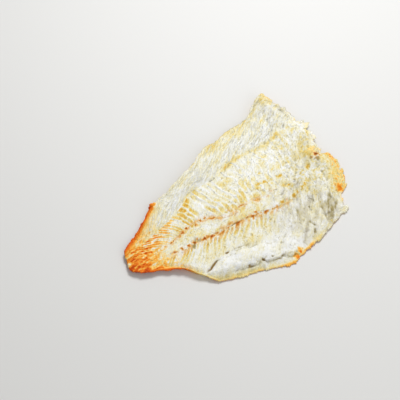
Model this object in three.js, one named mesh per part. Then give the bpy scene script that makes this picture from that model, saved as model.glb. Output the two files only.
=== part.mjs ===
// A roasted cod fillet: a small fish opened flat, skinned and boned, then dried and roasted until it puffs.
// It lies on a table with the cut side up. Millimetres, +Z up, tail end towards -X, head end towards +X.
import * as THREE from "three";
import { mergeGeometries, mergeVertices } from "three/addons/utils/BufferGeometryUtils.js";

const { clamp, lerp, degToRad } = THREE.MathUtils;

// Driving dimensions
const LENGTH = 200; // from the tail's edge to the head end, along the backbone line
const FLESH = 4.0; // thickness of the dried flesh between its swellings
const RIM = 1.8; // thickness of the torn rim
const RIM_TAPER = 9; // how far in from the rim the flesh reaches its full thickness
const RIM_UNDERCUT = 0.8; // how far the rim's lower edge is set in
const ARCH = 3.2; // how far the middle has lifted off the table
const FLAT_SPOT = 0.9; // height below which the underside is pressed flat on the table

// Stretches of the length over which the flap merges into the flesh and the two seams fade
const FLAP_MERGES = [0.72, 0.4];
const SEAMS_FADE = [0.88, 0.78];

// Six lines run the length of the fillet, from its right edge to its left edge. Each has stations [distance
// from the tail, distance left of the middle] as shares of LENGTH. Four of them have a valley along them, with
// a depth, a half width and a stretch over which it fades.
const RIGHT_EDGE = {
  stations: [
    [0, -0.058], [0.08, -0.095], [0.17, -0.145], [0.215, -0.205], [0.26, -0.265], [0.35, -0.297],
    [0.44, -0.328], [0.53, -0.363], [0.565, -0.368], [0.61, -0.356], [0.68, -0.341], [0.82, -0.31],
    [0.92, -0.28],
  ],
};
const FLAP_FOLD = {
  valley: { depth: 0.8, reach: 2.6, fades: FLAP_MERGES },
  stations: [
    [0, -0.045], [0.1, -0.082], [0.17, -0.132], [0.205, -0.182], [0.23, -0.208], [0.26, -0.203],
    [0.3, -0.188], [0.353, -0.184], [0.4, -0.186], [0.46, -0.203], [0.51, -0.22], [0.67, -0.252],
    [0.82, -0.24], [0.92, -0.21],
  ],
};
const RIGHT_SEAM = {
  valley: { depth: 0.3, reach: 1.4, fades: SEAMS_FADE },
  stations: [
    [0, -0.02], [0.12, -0.064], [0.33, -0.078], [0.55, -0.103], [0.7, -0.13], [0.82, -0.106], [1, -0.085],
  ],
};
const LEFT_SEAM = {
  valley: { depth: 0.25, reach: 1.4, fades: SEAMS_FADE },
  stations: [
    [0, 0.004], [0.18, -0.016], [0.35, -0.002], [0.45, -0.033], [0.7, -0.058], [0.83, -0.053], [1, -0.018],
  ],
};
const LOBE_FOLD = {
  valley: { depth: 0.5, reach: 1.8 },
  stations: [
    [0, 0.024], [0.15, 0.05], [0.3, 0.09], [0.41, 0.138], [0.52, 0.138], [0.65, 0.166], [0.82, 0.16],
    [1, 0.2],
  ],
};
const LEFT_EDGE = {
  stations: [
    [0, 0.05], [0.1, 0.097], [0.2, 0.16], [0.27, 0.181], [0.38, 0.212], [0.47, 0.236], [0.54, 0.268],
    [0.69, 0.304], [0.82, 0.316], [0.86, 0.343], [0.92, 0.373], [1, 0.383],
  ],
};
const SLIT = { from: 0.228, to: 0.325, depth: 1.1, reach: 1.5 }; // deepens the front of the flap's fold

// Five bands lie between the lines. steps is how finely a band is divided, swelling how far its middle has
// puffed up. septa are the skins between a band's flakes: their height, and how far they lean back to the tail
// for each millimetre outwards, at the tail and further on.
const FLAP = { steps: 8, swelling: 2.2 };
const RIGHT_BAND = { steps: 8, swelling: 0.5, septa: { height: 0.3, leanAtTail: 1.2, lean: 0.69 } };
const STRIP = { steps: 5, swelling: 0 };
const LEFT_BAND = { steps: 11, swelling: 0.6, septa: { height: 0.5, leanAtTail: 2.1, lean: 0.1 } };
const LOBE = { steps: 10, swelling: 0.6 };
const FLAP_LEAN = 1.6; // the power that moves the flap's highest line from its middle towards its fold
const STEPS_ALONG = 100;

// The two torn ends, as stations [share of the steps across from the right edge, distance from the tail]
const TAIL_END = [[0, 0.02], [0.3, -0.005], [0.6, 0.004], [1, 0.02]];
const HEAD_END = [
  [0, 0.905], [0.17, 0.915], [0.2, 0.945], [0.25, 0.982], [0.35, 0.993], [0.47, 0.99], [0.54, 0.972],
  [0.6, 0.99], [0.64, 1.01], [0.69, 1.014], [0.74, 1], [0.78, 0.98], [0.89, 0.968], [0.95, 0.952],
  [1, 0.945],
];

// Two thin layers lie lower than the flesh beside them, each outside a line and over a short slope. The rim
// layer's line has stations as shares of LENGTH, the head layer's as shares of the steps across.
const RIM_LAYER = {
  drop: 1.1,
  slope: 1.5,
  comes: [0.3, 0.38],
  goes: [0.64, 0.59],
  stations: [[0.3, -0.256], [0.36, -0.269], [0.46, -0.292], [0.53, -0.317], [0.61, -0.34]],
};
const HEAD_LAYER = {
  drop: 0.8,
  slope: 1.5,
  comes: [0.17, 0.21],
  goes: [0.53, 0.47],
  stations: [[0.19, 0.904], [0.23, 0.91], [0.3, 0.926], [0.36, 0.95], [0.41, 0.962], [0.5, 0.979]],
};

// How high the drying has lifted each rim and end, as stations [share of LENGTH, millimetres]
const LEFT_LIFT = [[0, 1], [0.15, 3], [0.3, 6], [0.5, 8], [0.7, 5], [0.86, 7], [1, 9]];
const RIGHT_LIFT = [
  [0, 1], [0.12, 3.5], [0.2, 5], [0.27, 1.2], [0.4, 0.3], [0.62, 1], [0.75, 1.5], [0.9, 1],
];
const TAIL_LIFT = 3.5;
const HEAD_LIFT = 2.5;

// Stretches over which something comes or goes, as shares of LENGTH or of the steps across
const TAIL_THINS = [0.02, 0.35];
const HEAD_CRUMBLES = [0.62, 1];
const ARCH_ALONG = [0.25, 0.55];
const ARCH_FROM_RIGHT = [0.2, 0.42];
const ARCH_FROM_LEFT = [0.72, 0.55];
const LEFT_CURL = [0.64, 1.04];
const RIGHT_CURL = [0.3, -0.02];
const TAIL_CURL = [0.14, -0.02];
const HEAD_CURL = [0.8, 1.02];
const HEAD_CURL_ACROSS = [0.25, 0.5];

// The tears along the rims. Each wave has a length along the rim and a share of the tear's depth.
const SIDE_TEAR = 1.5;
const SIDE_TEAR_REACH = 8; // the power of the distance across that keeps a side's tear at its rim
const HEAD_TEAR = 2.6;
const TAIL_TEAR = 1.2;
const HEAD_TORN = [0.86, 1];
const TAIL_TORN = [0.1, 0];
const TEAR_WAVES = [{ length: 9, share: 0.6 }, { length: 4.5, share: 0.4 }];

// A browned nub sits on the left rim. Its place is in shares of LENGTH, and edge is the power of the distance
// across that keeps its bulge at the rim.
const NUB = { along: 0.228, left: 0.172, out: 2.2, reach: 3.2, height: 1.5, edge: 20 };

// Soft folds cross the right corner at an angle, inside a bell around a place in shares of LENGTH.
const CORNER = { along: 0.79, left: -0.21, reach: 34, angle: degToRad(55), wave: 9, run: 26, height: 1.3 };

// Relief of the flesh: skins between flakes, long fibres in the lobe, puffs on the flap, lumps everywhere and
// crumbs at the head
const SEPTA_SPACING = 6.4;
const SEPTA_STRAIGHTEN = [0.06, 0.36];
const FIBRE_ANGLE = degToRad(31);
const FIBRES_START = [0, 0.25]; // share of the lobe's width over which they rise from its fold
const FIBRE = { height: 0.45, width: 4.2, length: 24 };
const PUFF = { height: 0.6, length: 9, width: 7 };
const LUMP = { height: 0.5, size: 16 };
const CRUMB = { height: 1.1, size: 6.5 };

const WELD = 1e-3; // points of the rims closer than this are one point

const LINES = [RIGHT_EDGE, FLAP_FOLD, RIGHT_SEAM, LEFT_SEAM, LOBE_FOLD, LEFT_EDGE];
const BANDS = [FLAP, RIGHT_BAND, STRIP, LEFT_BAND, LOBE];
const STEPS_ACROSS = BANDS.reduce((sum, band) => sum + band.steps, 0);

const smooth = (t) => t * t * (3 - 2 * t);
const ease = (x, [from, to]) => smooth(clamp((x - from) / (to - from), 0, 1));
const bell = (distance, reach) => Math.exp(-((distance / reach) ** 2));

// A smooth curve through stations: cubic pieces, each station's slope taken across its two neighbours.
function throughStations(stations) {
  const last = stations.length - 1;
  const slopes = stations.map((_, i) => {
    const [x0, y0] = stations[Math.max(i - 1, 0)];
    const [x1, y1] = stations[Math.min(i + 1, last)];
    return (y1 - y0) / (x1 - x0);
  });
  return (x) => {
    const held = clamp(x, stations[0][0], stations[last][0]);
    const next = stations.findIndex(([at], i) => i > 0 && held <= at);
    const [x0, y0] = stations[next - 1];
    const [x1, y1] = stations[next];
    const span = x1 - x0;
    const t = (held - x0) / span;
    const leave = t * (1 - t) * (1 - t) * span * slopes[next - 1];
    const arrive = t * t * (t - 1) * span * slopes[next];
    return y0 + (y1 - y0) * smooth(t) + leave + arrive;
  };
}

// A draw from 0 to 1 that is fixed for each pair of whole numbers and each key.
const DRAW_MIX = { column: 127.1, row: 311.7, key: 74.7, stretch: 43758.5453 };
const KEY = { common: 0, puffs: 85, corner: 87 };
function draw(column, row, key) {
  const phase = column * DRAW_MIX.column + row * DRAW_MIX.row + key * DRAW_MIX.key;
  const wave = Math.sin(phase) * DRAW_MIX.stretch;
  return wave - Math.floor(wave);
}

// Smooth noise from -1 to 1, with bumps one unit across.
function noise(x, y, key = KEY.common) {
  const column = Math.floor(x);
  const row = Math.floor(y);
  const right = smooth(x - column);
  const lower = lerp(draw(column, row, key), draw(column + 1, row, key), right);
  const upper = lerp(draw(column, row + 1, key), draw(column + 1, row + 1, key), right);
  return 2 * lerp(lower, upper, smooth(y - row)) - 1;
}

// An uneven line from -1 to 1, at a distance along it. Each rim has its own row of draws.
const torn = (distance, row) =>
  TEAR_WAVES.reduce((sum, wave) => sum + wave.share * noise(distance / wave.length, row), 0);
const TORN_ROW = { left: 3, right: 11, head: 19, tail: 27 };

const lines = LINES.map((line) => throughStations(line.stations));
const rightEdge = lines[LINES.indexOf(RIGHT_EDGE)];
const flapFold = lines[LINES.indexOf(FLAP_FOLD)];
const rightSeam = lines[LINES.indexOf(RIGHT_SEAM)];
const lobeFold = lines[LINES.indexOf(LOBE_FOLD)];
const leftEdge = lines[LINES.indexOf(LEFT_EDGE)];
const tailEnd = throughStations(TAIL_END);
const headEnd = throughStations(HEAD_END);
const leftLift = throughStations(LEFT_LIFT);
const rightLift = throughStations(RIGHT_LIFT);
const rimLayerLine = throughStations(RIM_LAYER.stations);
const headLayerLine = throughStations(HEAD_LAYER.stations);

// Which band a share of the steps across lies in, and how far across that band.
function bandAt(across) {
  let step = across * STEPS_ACROSS;
  let index = 0;
  while (index < BANDS.length - 1 && step > BANDS[index].steps) {
    step -= BANDS[index].steps;
    index += 1;
  }
  return { index, inBand: step / BANDS[index].steps };
}

// Where a point of the sheet lies: its band, how far along the backbone line, and how far left of it.
function placeAt(u, across) {
  const { index, inBand } = bandAt(across);
  const width = (leftEdge(u) - rightEdge(u)) * LENGTH;
  const headTear = HEAD_TEAR * torn(across * width, TORN_ROW.head) * ease(u, HEAD_TORN);
  const tailTear = TAIL_TEAR * torn(across * width, TORN_ROW.tail) * ease(u, TAIL_TORN);
  const along = lerp(tailEnd(across), headEnd(across), u) * LENGTH + headTear - tailTear;
  const share = along / LENGTH;
  const leftTear = torn(along, TORN_ROW.left) * across ** SIDE_TEAR_REACH;
  const rightTear = torn(along, TORN_ROW.right) * (1 - across) ** SIDE_TEAR_REACH;
  const bulge = NUB.out * bell(along - NUB.along * LENGTH, NUB.reach) * across ** NUB.edge;
  const between = lerp(lines[index](share), lines[index + 1](share), inBand) * LENGTH;
  const left = between + SIDE_TEAR * (leftTear - rightTear) + bulge;
  return { across, index, inBand, along, share, left };
}

// Height of the underside: an arch under the backbone, and rims and ends that curl up off the table.
function underside({ share, across }) {
  const arch = ARCH * ease(share, ARCH_ALONG) * ease(across, ARCH_FROM_RIGHT) * ease(across, ARCH_FROM_LEFT);
  const leftCurl = leftLift(share) * ease(across, LEFT_CURL);
  const rightCurl = rightLift(share) * ease(across, RIGHT_CURL);
  const tailCurl = TAIL_LIFT * ease(share, TAIL_CURL);
  const headCurl = HEAD_LIFT * ease(share, HEAD_CURL) * ease(across, HEAD_CURL_ACROSS);
  return Math.max(0, arch + leftCurl + rightCurl + tailCurl + headCurl - FLAT_SPOT);
}

// How far a place has come in from the nearest rim, from 0 to 1.
function inwards({ along, share, left, across }) {
  const toSide = Math.min(leftEdge(share) * LENGTH - left, left - rightEdge(share) * LENGTH);
  const toEnd = Math.min(along - tailEnd(across) * LENGTH, headEnd(across) * LENGTH - along);
  return ease(Math.min(toSide, toEnd), [0, RIM_TAPER]);
}

// The valleys along the folds and seams, and the slit, which is deepest half way along.
function valleys({ share, left }) {
  const alongSlit = clamp((share - SLIT.from) / (SLIT.to - SLIT.from), 0, 1);
  const slit = SLIT.depth * Math.sin(Math.PI * alongSlit) * bell(left - flapFold(share) * LENGTH, SLIT.reach);
  return LINES.reduce((sum, { valley }, i) => {
    if (!valley) return sum;
    const kept = valley.fades ? ease(share, valley.fades) : 1;
    return sum + valley.depth * kept * bell(left - lines[i](share) * LENGTH, valley.reach);
  }, slit);
}

// The puffed-up middle of a band: a wave across it that is level at its lines. The flap's leans to its fold.
function swelling({ share, index, inBand }) {
  const { swelling: height } = BANDS[index];
  if (BANDS[index] !== FLAP) return height * Math.sin(Math.PI * inBand) ** 2;
  return height * Math.sin(Math.PI * inBand ** FLAP_LEAN) * ease(share, FLAP_MERGES);
}

// How far the two thin layers lie below the flesh beside them.
function layers({ along, share, left, across }) {
  const besideRim = rimLayerLine(share) * LENGTH - left;
  const besideHead = along - headLayerLine(across) * LENGTH;
  const dropOf = (layer, beside, at) =>
    layer.drop * ease(beside, [-layer.slope, layer.slope]) * ease(at, layer.comes) * ease(at, layer.goes);
  return dropOf(RIM_LAYER, besideRim, share) + dropOf(HEAD_LAYER, besideHead, across);
}

// The skins between flakes: ridges across a band that lean back to the tail, the more so the nearer to it.
function septa({ along, share, left, index, inBand }) {
  const { septa: skins } = BANDS[index];
  if (!skins) return 0;
  const onLeft = BANDS[index] === LEFT_BAND;
  const outwards = onLeft ? left - lobeFold(share) * LENGTH : rightSeam(share) * LENGTH - left;
  const lean = lerp(skins.leanAtTail, skins.lean, ease(share, SEPTA_STRAIGHTEN));
  const turns = (along + lean * outwards) / SEPTA_SPACING;
  return skins.height * (0.5 + 0.5 * Math.cos(2 * Math.PI * turns)) * Math.sin(Math.PI * inBand);
}

// The long fibres of the lobe, which run outwards towards the head.
function fibres({ along, left, index, inBand }) {
  if (BANDS[index] !== LOBE) return 0;
  const acrossFibre = left * Math.cos(FIBRE_ANGLE) - along * Math.sin(FIBRE_ANGLE);
  const alongFibre = left * Math.sin(FIBRE_ANGLE) + along * Math.cos(FIBRE_ANGLE);
  const ridges = FIBRE.height * noise(acrossFibre / FIBRE.width, alongFibre / FIBRE.length);
  return ridges * ease(inBand, FIBRES_START);
}

// The puffs of the flap, which are level at its rim and its fold.
function puffs({ along, left, index, inBand }) {
  if (BANDS[index] !== FLAP) return 0;
  return PUFF.height * noise(along / PUFF.length, left / PUFF.width, KEY.puffs) * Math.sin(Math.PI * inBand);
}

// The soft folds of the right corner.
function cornerFolds({ along, left }) {
  const alongFold = along * Math.cos(CORNER.angle) + left * Math.sin(CORNER.angle);
  const acrossFold = along * Math.sin(CORNER.angle) - left * Math.cos(CORNER.angle);
  const off = Math.hypot(along - CORNER.along * LENGTH, left - CORNER.left * LENGTH);
  const waves = noise(acrossFold / CORNER.wave, alongFold / CORNER.run, KEY.corner);
  return CORNER.height * waves * bell(off, CORNER.reach);
}

// Thickness: flesh that thins to the rim, with its swellings, valleys and relief.
function thickness(place) {
  const { along, share, left } = place;
  const nub = NUB.height * bell(Math.hypot(along - NUB.along * LENGTH, left - NUB.left * LENGTH), NUB.reach);
  const lumps = LUMP.height * noise(along / LUMP.size, left / LUMP.size);
  const crumbs = CRUMB.height * noise(along / CRUMB.size, left / CRUMB.size) * ease(share, HEAD_CRUMBLES);
  const sunk = valleys(place) + layers(place);
  const raised = swelling(place) + septa(place) + fibres(place) + puffs(place) + cornerFolds(place);
  const relief = (raised - sunk) * ease(share, TAIL_THINS) + lumps + crumbs;
  return RIM + nub + inwards(place) * (FLESH - RIM + relief);
}

// A point of the cut side, and a point of the underside, whose rim is set in.
function topPoint(u, across) {
  const place = placeAt(u, across);
  return [place.along, place.left, underside(place) + thickness(place)];
}
function bottomPoint(u, across) {
  const place = placeAt(u, across);
  const endward = Math.floor(u) - Math.floor(1 - u);
  const sideward = Math.floor(across) - Math.floor(1 - across);
  return [place.along - endward * RIM_UNDERCUT, place.left - sideward * RIM_UNDERCUT, underside(place)];
}

// One side of the sheet: a flat grid, its first axis along the backbone, carried to the points of that side.
function side(stepsAlong, stepsAcross, pointAt) {
  const grid = new THREE.PlaneGeometry(1, 1, stepsAlong, stepsAcross);
  const position = grid.getAttribute("position");
  for (let i = 0; i < position.count; i++) {
    const u = (i % (stepsAlong + 1)) / stepsAlong;
    const across = 1 - Math.floor(i / (stepsAlong + 1)) / stepsAcross;
    position.setXYZ(i, ...pointAt(u, across));
  }
  grid.deleteAttribute("normal");
  grid.deleteAttribute("uv");
  return grid;
}

// The points of a grid's rim, anticlockwise from its tail end on the right.
function rimOf(grid, stepsAlong, stepsAcross) {
  const position = grid.getAttribute("position");
  const pointAt = (i, j) => {
    const index = (stepsAcross - j) * (stepsAlong + 1) + i;
    return new THREE.Vector3().fromBufferAttribute(position, index);
  };
  const stretch = (steps, pointOf) => Array.from({ length: steps }, (_, k) => pointOf(k));
  return [
    ...stretch(stepsAlong, (k) => pointAt(k, 0)),
    ...stretch(stepsAcross, (k) => pointAt(stepsAlong, k)),
    ...stretch(stepsAlong, (k) => pointAt(stepsAlong - k, stepsAcross)),
    ...stretch(stepsAcross, (k) => pointAt(0, stepsAcross - k)),
  ];
}

// The wall between two rims, the lower one with half as many points: three triangles for each lower step.
function wallBetween(upper, lower) {
  const corners = lower.flatMap((here, k) => {
    const next = lower[(k + 1) % lower.length];
    const [first, second, third] = [0, 1, 2].map((step) => upper[(2 * k + step) % upper.length]);
    return [here, next, second, first, here, second, second, next, third];
  });
  const wall = new THREE.BufferGeometry().setFromPoints(corners);
  wall.setIndex(corners.map((_, i) => i));
  return wall;
}

// The fillet as one closed solid, centred on the patch of table that it covers.
function filletGeometry() {
  const half = { along: STEPS_ALONG / 2, across: STEPS_ACROSS / 2 };
  const top = side(STEPS_ALONG, STEPS_ACROSS, topPoint);
  const bottom = side(half.along, half.across, bottomPoint);
  const wall = wallBetween(rimOf(top, STEPS_ALONG, STEPS_ACROSS), rimOf(bottom, half.along, half.across));
  bottom.index.array.reverse();
  const solid = mergeVertices(mergeGeometries([top, bottom, wall]), WELD);
  solid.computeBoundingBox();
  const middle = solid.boundingBox.getCenter(new THREE.Vector3());
  solid.translate(-middle.x, -middle.y, -solid.boundingBox.min.z);
  solid.computeVertexNormals();
  return solid;
}

const roastedFlesh = new THREE.MeshStandardMaterial({ color: 0xe9e2c6, roughness: 0.62, metalness: 0 });
const fillet = new THREE.Mesh(filletGeometry(), roastedFlesh);
fillet.name = "fillet";

const snack = new THREE.Group();
snack.add(fillet);

export default snack;
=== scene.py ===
# %% [markdown]
# # Dressing a roasted cod fillet
#
# The object is a small fish that was opened flat, skinned and boned, then dried and roasted until it
# puffed. Its weight, size and rough form are already settled by one solid, which this script loads as a
# fixed frame. What is missing is everything an eye looks for in roasted fish: fibres, the thin skins
# between the flakes, crumbly ends, and the colours from white flesh to browned rim. Each step below adds
# one of them.

# %% Load the frame
import math
from types import SimpleNamespace

import bpy
import numpy as np
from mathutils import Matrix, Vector


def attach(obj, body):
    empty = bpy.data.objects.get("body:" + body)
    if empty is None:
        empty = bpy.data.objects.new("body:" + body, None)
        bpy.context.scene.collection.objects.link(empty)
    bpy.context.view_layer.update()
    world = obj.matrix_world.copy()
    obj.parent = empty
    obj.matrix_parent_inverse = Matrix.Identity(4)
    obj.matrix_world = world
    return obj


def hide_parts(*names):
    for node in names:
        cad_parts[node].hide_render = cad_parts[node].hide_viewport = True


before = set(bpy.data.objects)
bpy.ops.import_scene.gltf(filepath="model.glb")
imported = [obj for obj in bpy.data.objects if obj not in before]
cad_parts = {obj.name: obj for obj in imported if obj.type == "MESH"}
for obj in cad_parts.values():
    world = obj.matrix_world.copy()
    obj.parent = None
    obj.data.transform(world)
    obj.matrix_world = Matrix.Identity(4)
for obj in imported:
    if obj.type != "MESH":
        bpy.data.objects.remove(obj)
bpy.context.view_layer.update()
MM = 0.001


# %% [markdown]
# ## Small tools for smooth, uneven shapes
#
# Food is uneven, but it isn't random noise: each unevenness has a size and a direction. Two tools give
# both. A curve through a few stations describes what is read off the real fillet, such as its outline.
# Lattice noise describes what only has a size, such as lumps. Both work on whole arrays, so thousands of
# points cost one call. From here on, lengths are millimetres, and a stretch is a pair of values between
# which something changes.

# %% Curves
LENGTH = 200.0


def smooth(t):
    """The ease curve: three times t squared minus two times t cubed, level at both ends."""
    return t * t * (3 - 2 * t)


def ease(x, stretch):
    """Rises from 0 at the stretch's first value to 1 at its second, along the ease curve."""
    start, end = stretch
    return smooth(np.clip((x - start) / (end - start), 0, 1))


def between(x, rise, fall):
    """Rises from 0 to 1 over one stretch, and falls back to 0 over a later one."""
    return ease(x, rise) * ease(x, fall[::-1])


def lerp(first, second, share):
    """A share of the way from the first to the second."""
    return first + (second - first) * share


def shift(x, stretch, first, second):
    """Goes from a first value to a second while x goes through a stretch."""
    return lerp(first, second, ease(x, stretch))


def hill(distance, reach):
    """A bell: the exponential of minus the squared distance over the squared reach, 1 at no distance."""
    return np.exp(-((distance / reach) ** 2))


def through_stations(stations):
    """A curve through stations: cubic pieces, each station's slope taken across its two neighbours."""
    at, value = np.array(stations, float).T
    slope = np.gradient(value, at)
    slope[1:-1] = (value[2:] - value[:-2]) / (at[2:] - at[:-2])

    def curve(x):
        held = np.clip(x, at[0], at[-1])
        after = np.clip(np.searchsorted(at, held), 1, len(at) - 1)
        before = after - 1
        span = at[after] - at[before]
        t = (held - at[before]) / span
        leave = t * (1 - t) ** 2 * span * slope[before]
        arrive = t * t * (t - 1) * span * slope[after]
        return lerp(value[before], value[after], smooth(t)) + leave + arrive

    return curve


def tell(what, values, unit=""):
    """Prints from where to where the values of an array go, to a tenth."""
    print(what, "from", round(float(np.min(values)), 1), "to", round(float(np.max(values)), 1), unit)


tell("the ease curve goes", smooth(np.linspace(0, 1, 9)))

# %% Lattice noise
# Every noise takes a key, a plain number that picks one pattern out of many.
DRAW_COLUMN, DRAW_ROW, DRAW_KEY, DRAW_STRETCH = 127.1, 311.7, 74.7, 43758.5453
FINER_COS, FINER_SIN = 1.6, 1.2  # a turn of 37 degrees that also halves the size
LAYERS = 3
NO_GRAIN_NEAR = 9.0


def draw(column, row, key=0):
    """A fixed draw from 0 to 1 for each column, row and key: what follows the point of a stretched sine."""
    wave = np.sin(column * DRAW_COLUMN + row * DRAW_ROW + key * DRAW_KEY) * DRAW_STRETCH
    return wave - np.floor(wave)


def noise(x, y, key=0):
    """Smooth noise from -1 to 1 with bumps one unit across: draws at whole numbers, eased between."""
    column, row = np.floor(x), np.floor(y)
    right = smooth(x - column)
    lower = lerp(draw(column, row, key), draw(column + 1, row, key), right)
    upper = lerp(draw(column, row + 1, key), draw(column + 1, row + 1, key), right)
    return 2 * lerp(lower, upper, smooth(y - row)) - 1


def layered(x, y, key):
    """Noise with finer layers on top: each has half the size and half the height, and is turned a little."""
    total, height = 0, 1.0
    for layer in range(LAYERS):
        total = total + height * noise(x, y, key + layer)
        x, y = FINER_COS * x + FINER_SIN * y, FINER_COS * y - FINER_SIN * x
        height *= 0.5
    return total / (2 - 2 ** (1 - LAYERS))


def as_share(wave):
    """Turns a value from -1 to 1 into a share from 0 to 1."""
    return 0.5 + 0.5 * wave


def wobble(distance, row, key, *waves):
    """How far a line strays sideways: noises along it, each given as a height and a size, added up."""
    return sum(height * noise(distance / size, row, key) for height, size in waves)


def nearest_grain(x, y, key):
    """Grains, one to a unit square: distances to the nearest and the next one, and the nearest's draw."""
    column, row = np.floor(x), np.floor(y)
    nearest = np.full(np.shape(x), NO_GRAIN_NEAR)
    following = nearest.copy()
    own = np.zeros(np.shape(x))
    for aside in (-1, 0, 1):
        for ahead in (-1, 0, 1):
            c, r = column + aside, row + ahead
            distance = np.hypot(x - c - draw(c, r, key), y - r - draw(c, r, key + 1))
            closer = distance < nearest
            following = np.where(closer, nearest, np.minimum(following, distance))
            own = np.where(closer, draw(c, r, key + 2), own)
            nearest = np.where(closer, distance, nearest)
    return nearest, following, own


tell("noise goes", noise(np.linspace(0, 60, 600), 0.5, 1))

# %% [markdown]
# ## The plan of the fillet
#
# Seen from above, the fillet is a fan between a narrow tail and a wide, broken head end. Six lines run
# along it: its two edges, a fold beside each edge, and two seams where the backbone was. A grid of two
# parameters fits it: `u` runs from the tail to the head, `across` from the right edge to the left, and
# every line keeps one value of `across`. So folds and seams lie exactly on grid lines, and the rows of faces
# follow the run of the flesh.

# %% Lines and ends
LINES = {
    # stations: distance along and distance left of the backbone line, as shares of the length
    "right edge": through_stations([
        (0, -0.058), (0.08, -0.095), (0.17, -0.145), (0.215, -0.205), (0.26, -0.265), (0.35, -0.297),
        (0.44, -0.328), (0.53, -0.363), (0.565, -0.368), (0.61, -0.356), (0.68, -0.341), (0.82, -0.31),
        (0.92, -0.28),
    ]),
    "flap fold": through_stations([
        (0, -0.045), (0.1, -0.082), (0.17, -0.132), (0.205, -0.182), (0.23, -0.208), (0.26, -0.203),
        (0.3, -0.188), (0.353, -0.184), (0.4, -0.186), (0.46, -0.203), (0.51, -0.22), (0.67, -0.252),
        (0.82, -0.24), (0.92, -0.21),
    ]),
    "right seam": through_stations([
        (0, -0.02), (0.12, -0.064), (0.33, -0.078), (0.55, -0.103), (0.7, -0.13), (0.82, -0.106), (1, -0.085),
    ]),
    "left seam": through_stations([
        (0, 0.004), (0.18, -0.016), (0.35, -0.002), (0.45, -0.033), (0.7, -0.058), (0.83, -0.053),
        (1, -0.018),
    ]),
    "lobe fold": through_stations([
        (0, 0.024), (0.15, 0.05), (0.3, 0.09), (0.41, 0.138), (0.52, 0.138), (0.65, 0.166), (0.82, 0.16),
        (1, 0.2),
    ]),
    "left edge": through_stations([
        (0, 0.05), (0.1, 0.097), (0.2, 0.16), (0.27, 0.181), (0.38, 0.212), (0.47, 0.236), (0.54, 0.268),
        (0.69, 0.304), (0.82, 0.316), (0.86, 0.343), (0.92, 0.373), (1, 0.383),
    ]),
}
LINE_NUMBER = {line: number for number, line in enumerate(LINES)}
# stations of the ends: share of the way across, and distance along as a share of the length
TAIL_END = through_stations([(0, 0.02), (0.3, -0.005), (0.6, 0.004), (1, 0.02)])
HEAD_END = through_stations([
    (0, 0.905), (0.17, 0.915), (0.2, 0.945), (0.25, 0.982), (0.35, 0.993), (0.47, 0.99), (0.54, 0.972),
    (0.6, 0.99), (0.64, 1.01), (0.69, 1.014), (0.74, 1.0), (0.78, 0.98), (0.89, 0.968), (0.95, 0.952),
    (1, 0.945),
])
FLAP, RIGHT_BAND, STRIP, LEFT_BAND, LOBE = range(5)
BAND_STEPS = np.array([8, 8, 5, 11, 10])
BAND_STARTS = np.concatenate([[0], np.cumsum(BAND_STEPS)[:-1]])
BLEND = 0.2  # how far into its neighbour a band blends, as a share of the neighbour's width
print(len(LINES), "lines part", len(BAND_STEPS), "bands over", LENGTH, "mm")

# %% Torn rims
LEFT_RIM = SimpleNamespace(row=3, tear=1.5, fray=0.9)
RIGHT_RIM = SimpleNamespace(row=11, tear=1.5, fray=0.9)
HEAD_RIM = SimpleNamespace(row=19, tear=2.6, fray=2.8)
TAIL_RIM = SimpleNamespace(row=27, tear=1.2, fray=1.0)
HEAD_TORN, TAIL_TORN = (0.86, 1), (0.1, 0)
NEAR_SIDE, AT_RIM = 8, 45  # powers of the way across or along: the higher, the closer to the rim
NUB = SimpleNamespace(along=0.228, left=0.172, out=1.0, reach=3.2, height=1.2)


def torn_rim(rim, distance, near_rim, at_rim):
    """How far a rim is torn out of line: waves of 9 and 4.5 mm near it, finer frays right at it."""
    waves = wobble(distance, rim.row, 0, (0.6, 9), (0.4, 4.5))
    frays = 0.6 * noise(distance / 2.6, rim.row + 1) + 0.4 * noise(distance / 1.4, rim.row + 2)
    return rim.tear * waves * near_rim + rim.fray * frays * at_rim


def band_weights(position):
    """How much of each band a place has: 1 inside a band, eased into its neighbour around each line."""
    comes = [ease(position, (line - BLEND, line + BLEND)) for line in range(1, LOBE + 1)]
    comes = [np.ones_like(position)] + comes
    goes = comes[1:] + [np.zeros_like(position)]
    return np.stack([come * (1 - go) for come, go in zip(comes, goes)])


def place_on_sheet(u, across):
    """Along is a share u of the way between the torn ends, left a share of the way between two lines."""
    step = across * BAND_STEPS.sum()
    band = np.clip(np.searchsorted(BAND_STARTS, step, side="right") - 1, 0, LOBE)
    in_band = (step - BAND_STARTS[band]) / BAND_STEPS[band]
    from_right = across * ((LINES["left edge"](u) - LINES["right edge"](u)) * LENGTH)
    head = torn_rim(HEAD_RIM, from_right, ease(u, HEAD_TORN), u ** AT_RIM)
    tail = torn_rim(TAIL_RIM, from_right, ease(u, TAIL_TORN), (1 - u) ** AT_RIM)
    along = lerp(TAIL_END(across), HEAD_END(across), u) * LENGTH + head - tail
    share = along / LENGTH
    lines = np.stack([line(share) for line in LINES.values()]) * LENGTH
    line_right, line_left = (np.take_along_axis(lines, band[None] + side, 0)[0] for side in (0, 1))
    left = lerp(line_right, line_left, in_band)
    left = left + torn_rim(LEFT_RIM, along, across ** NEAR_SIDE, across ** AT_RIM)
    left = left - torn_rim(RIGHT_RIM, along, (1 - across) ** NEAR_SIDE, (1 - across) ** AT_RIM)
    left = left + NUB.out * hill(along - NUB.along * LENGTH, NUB.reach) * across ** AT_RIM
    return SimpleNamespace(
        across=across, band=band, in_band=in_band, weights=band_weights(band + in_band),
        along=along, share=share, left=left, lines=dict(zip(LINES, lines)),
    )


# %% Grid of the sheet
TOP_STEPS = STEPS_ALONG, STEPS_ACROSS = 340, 220


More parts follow.
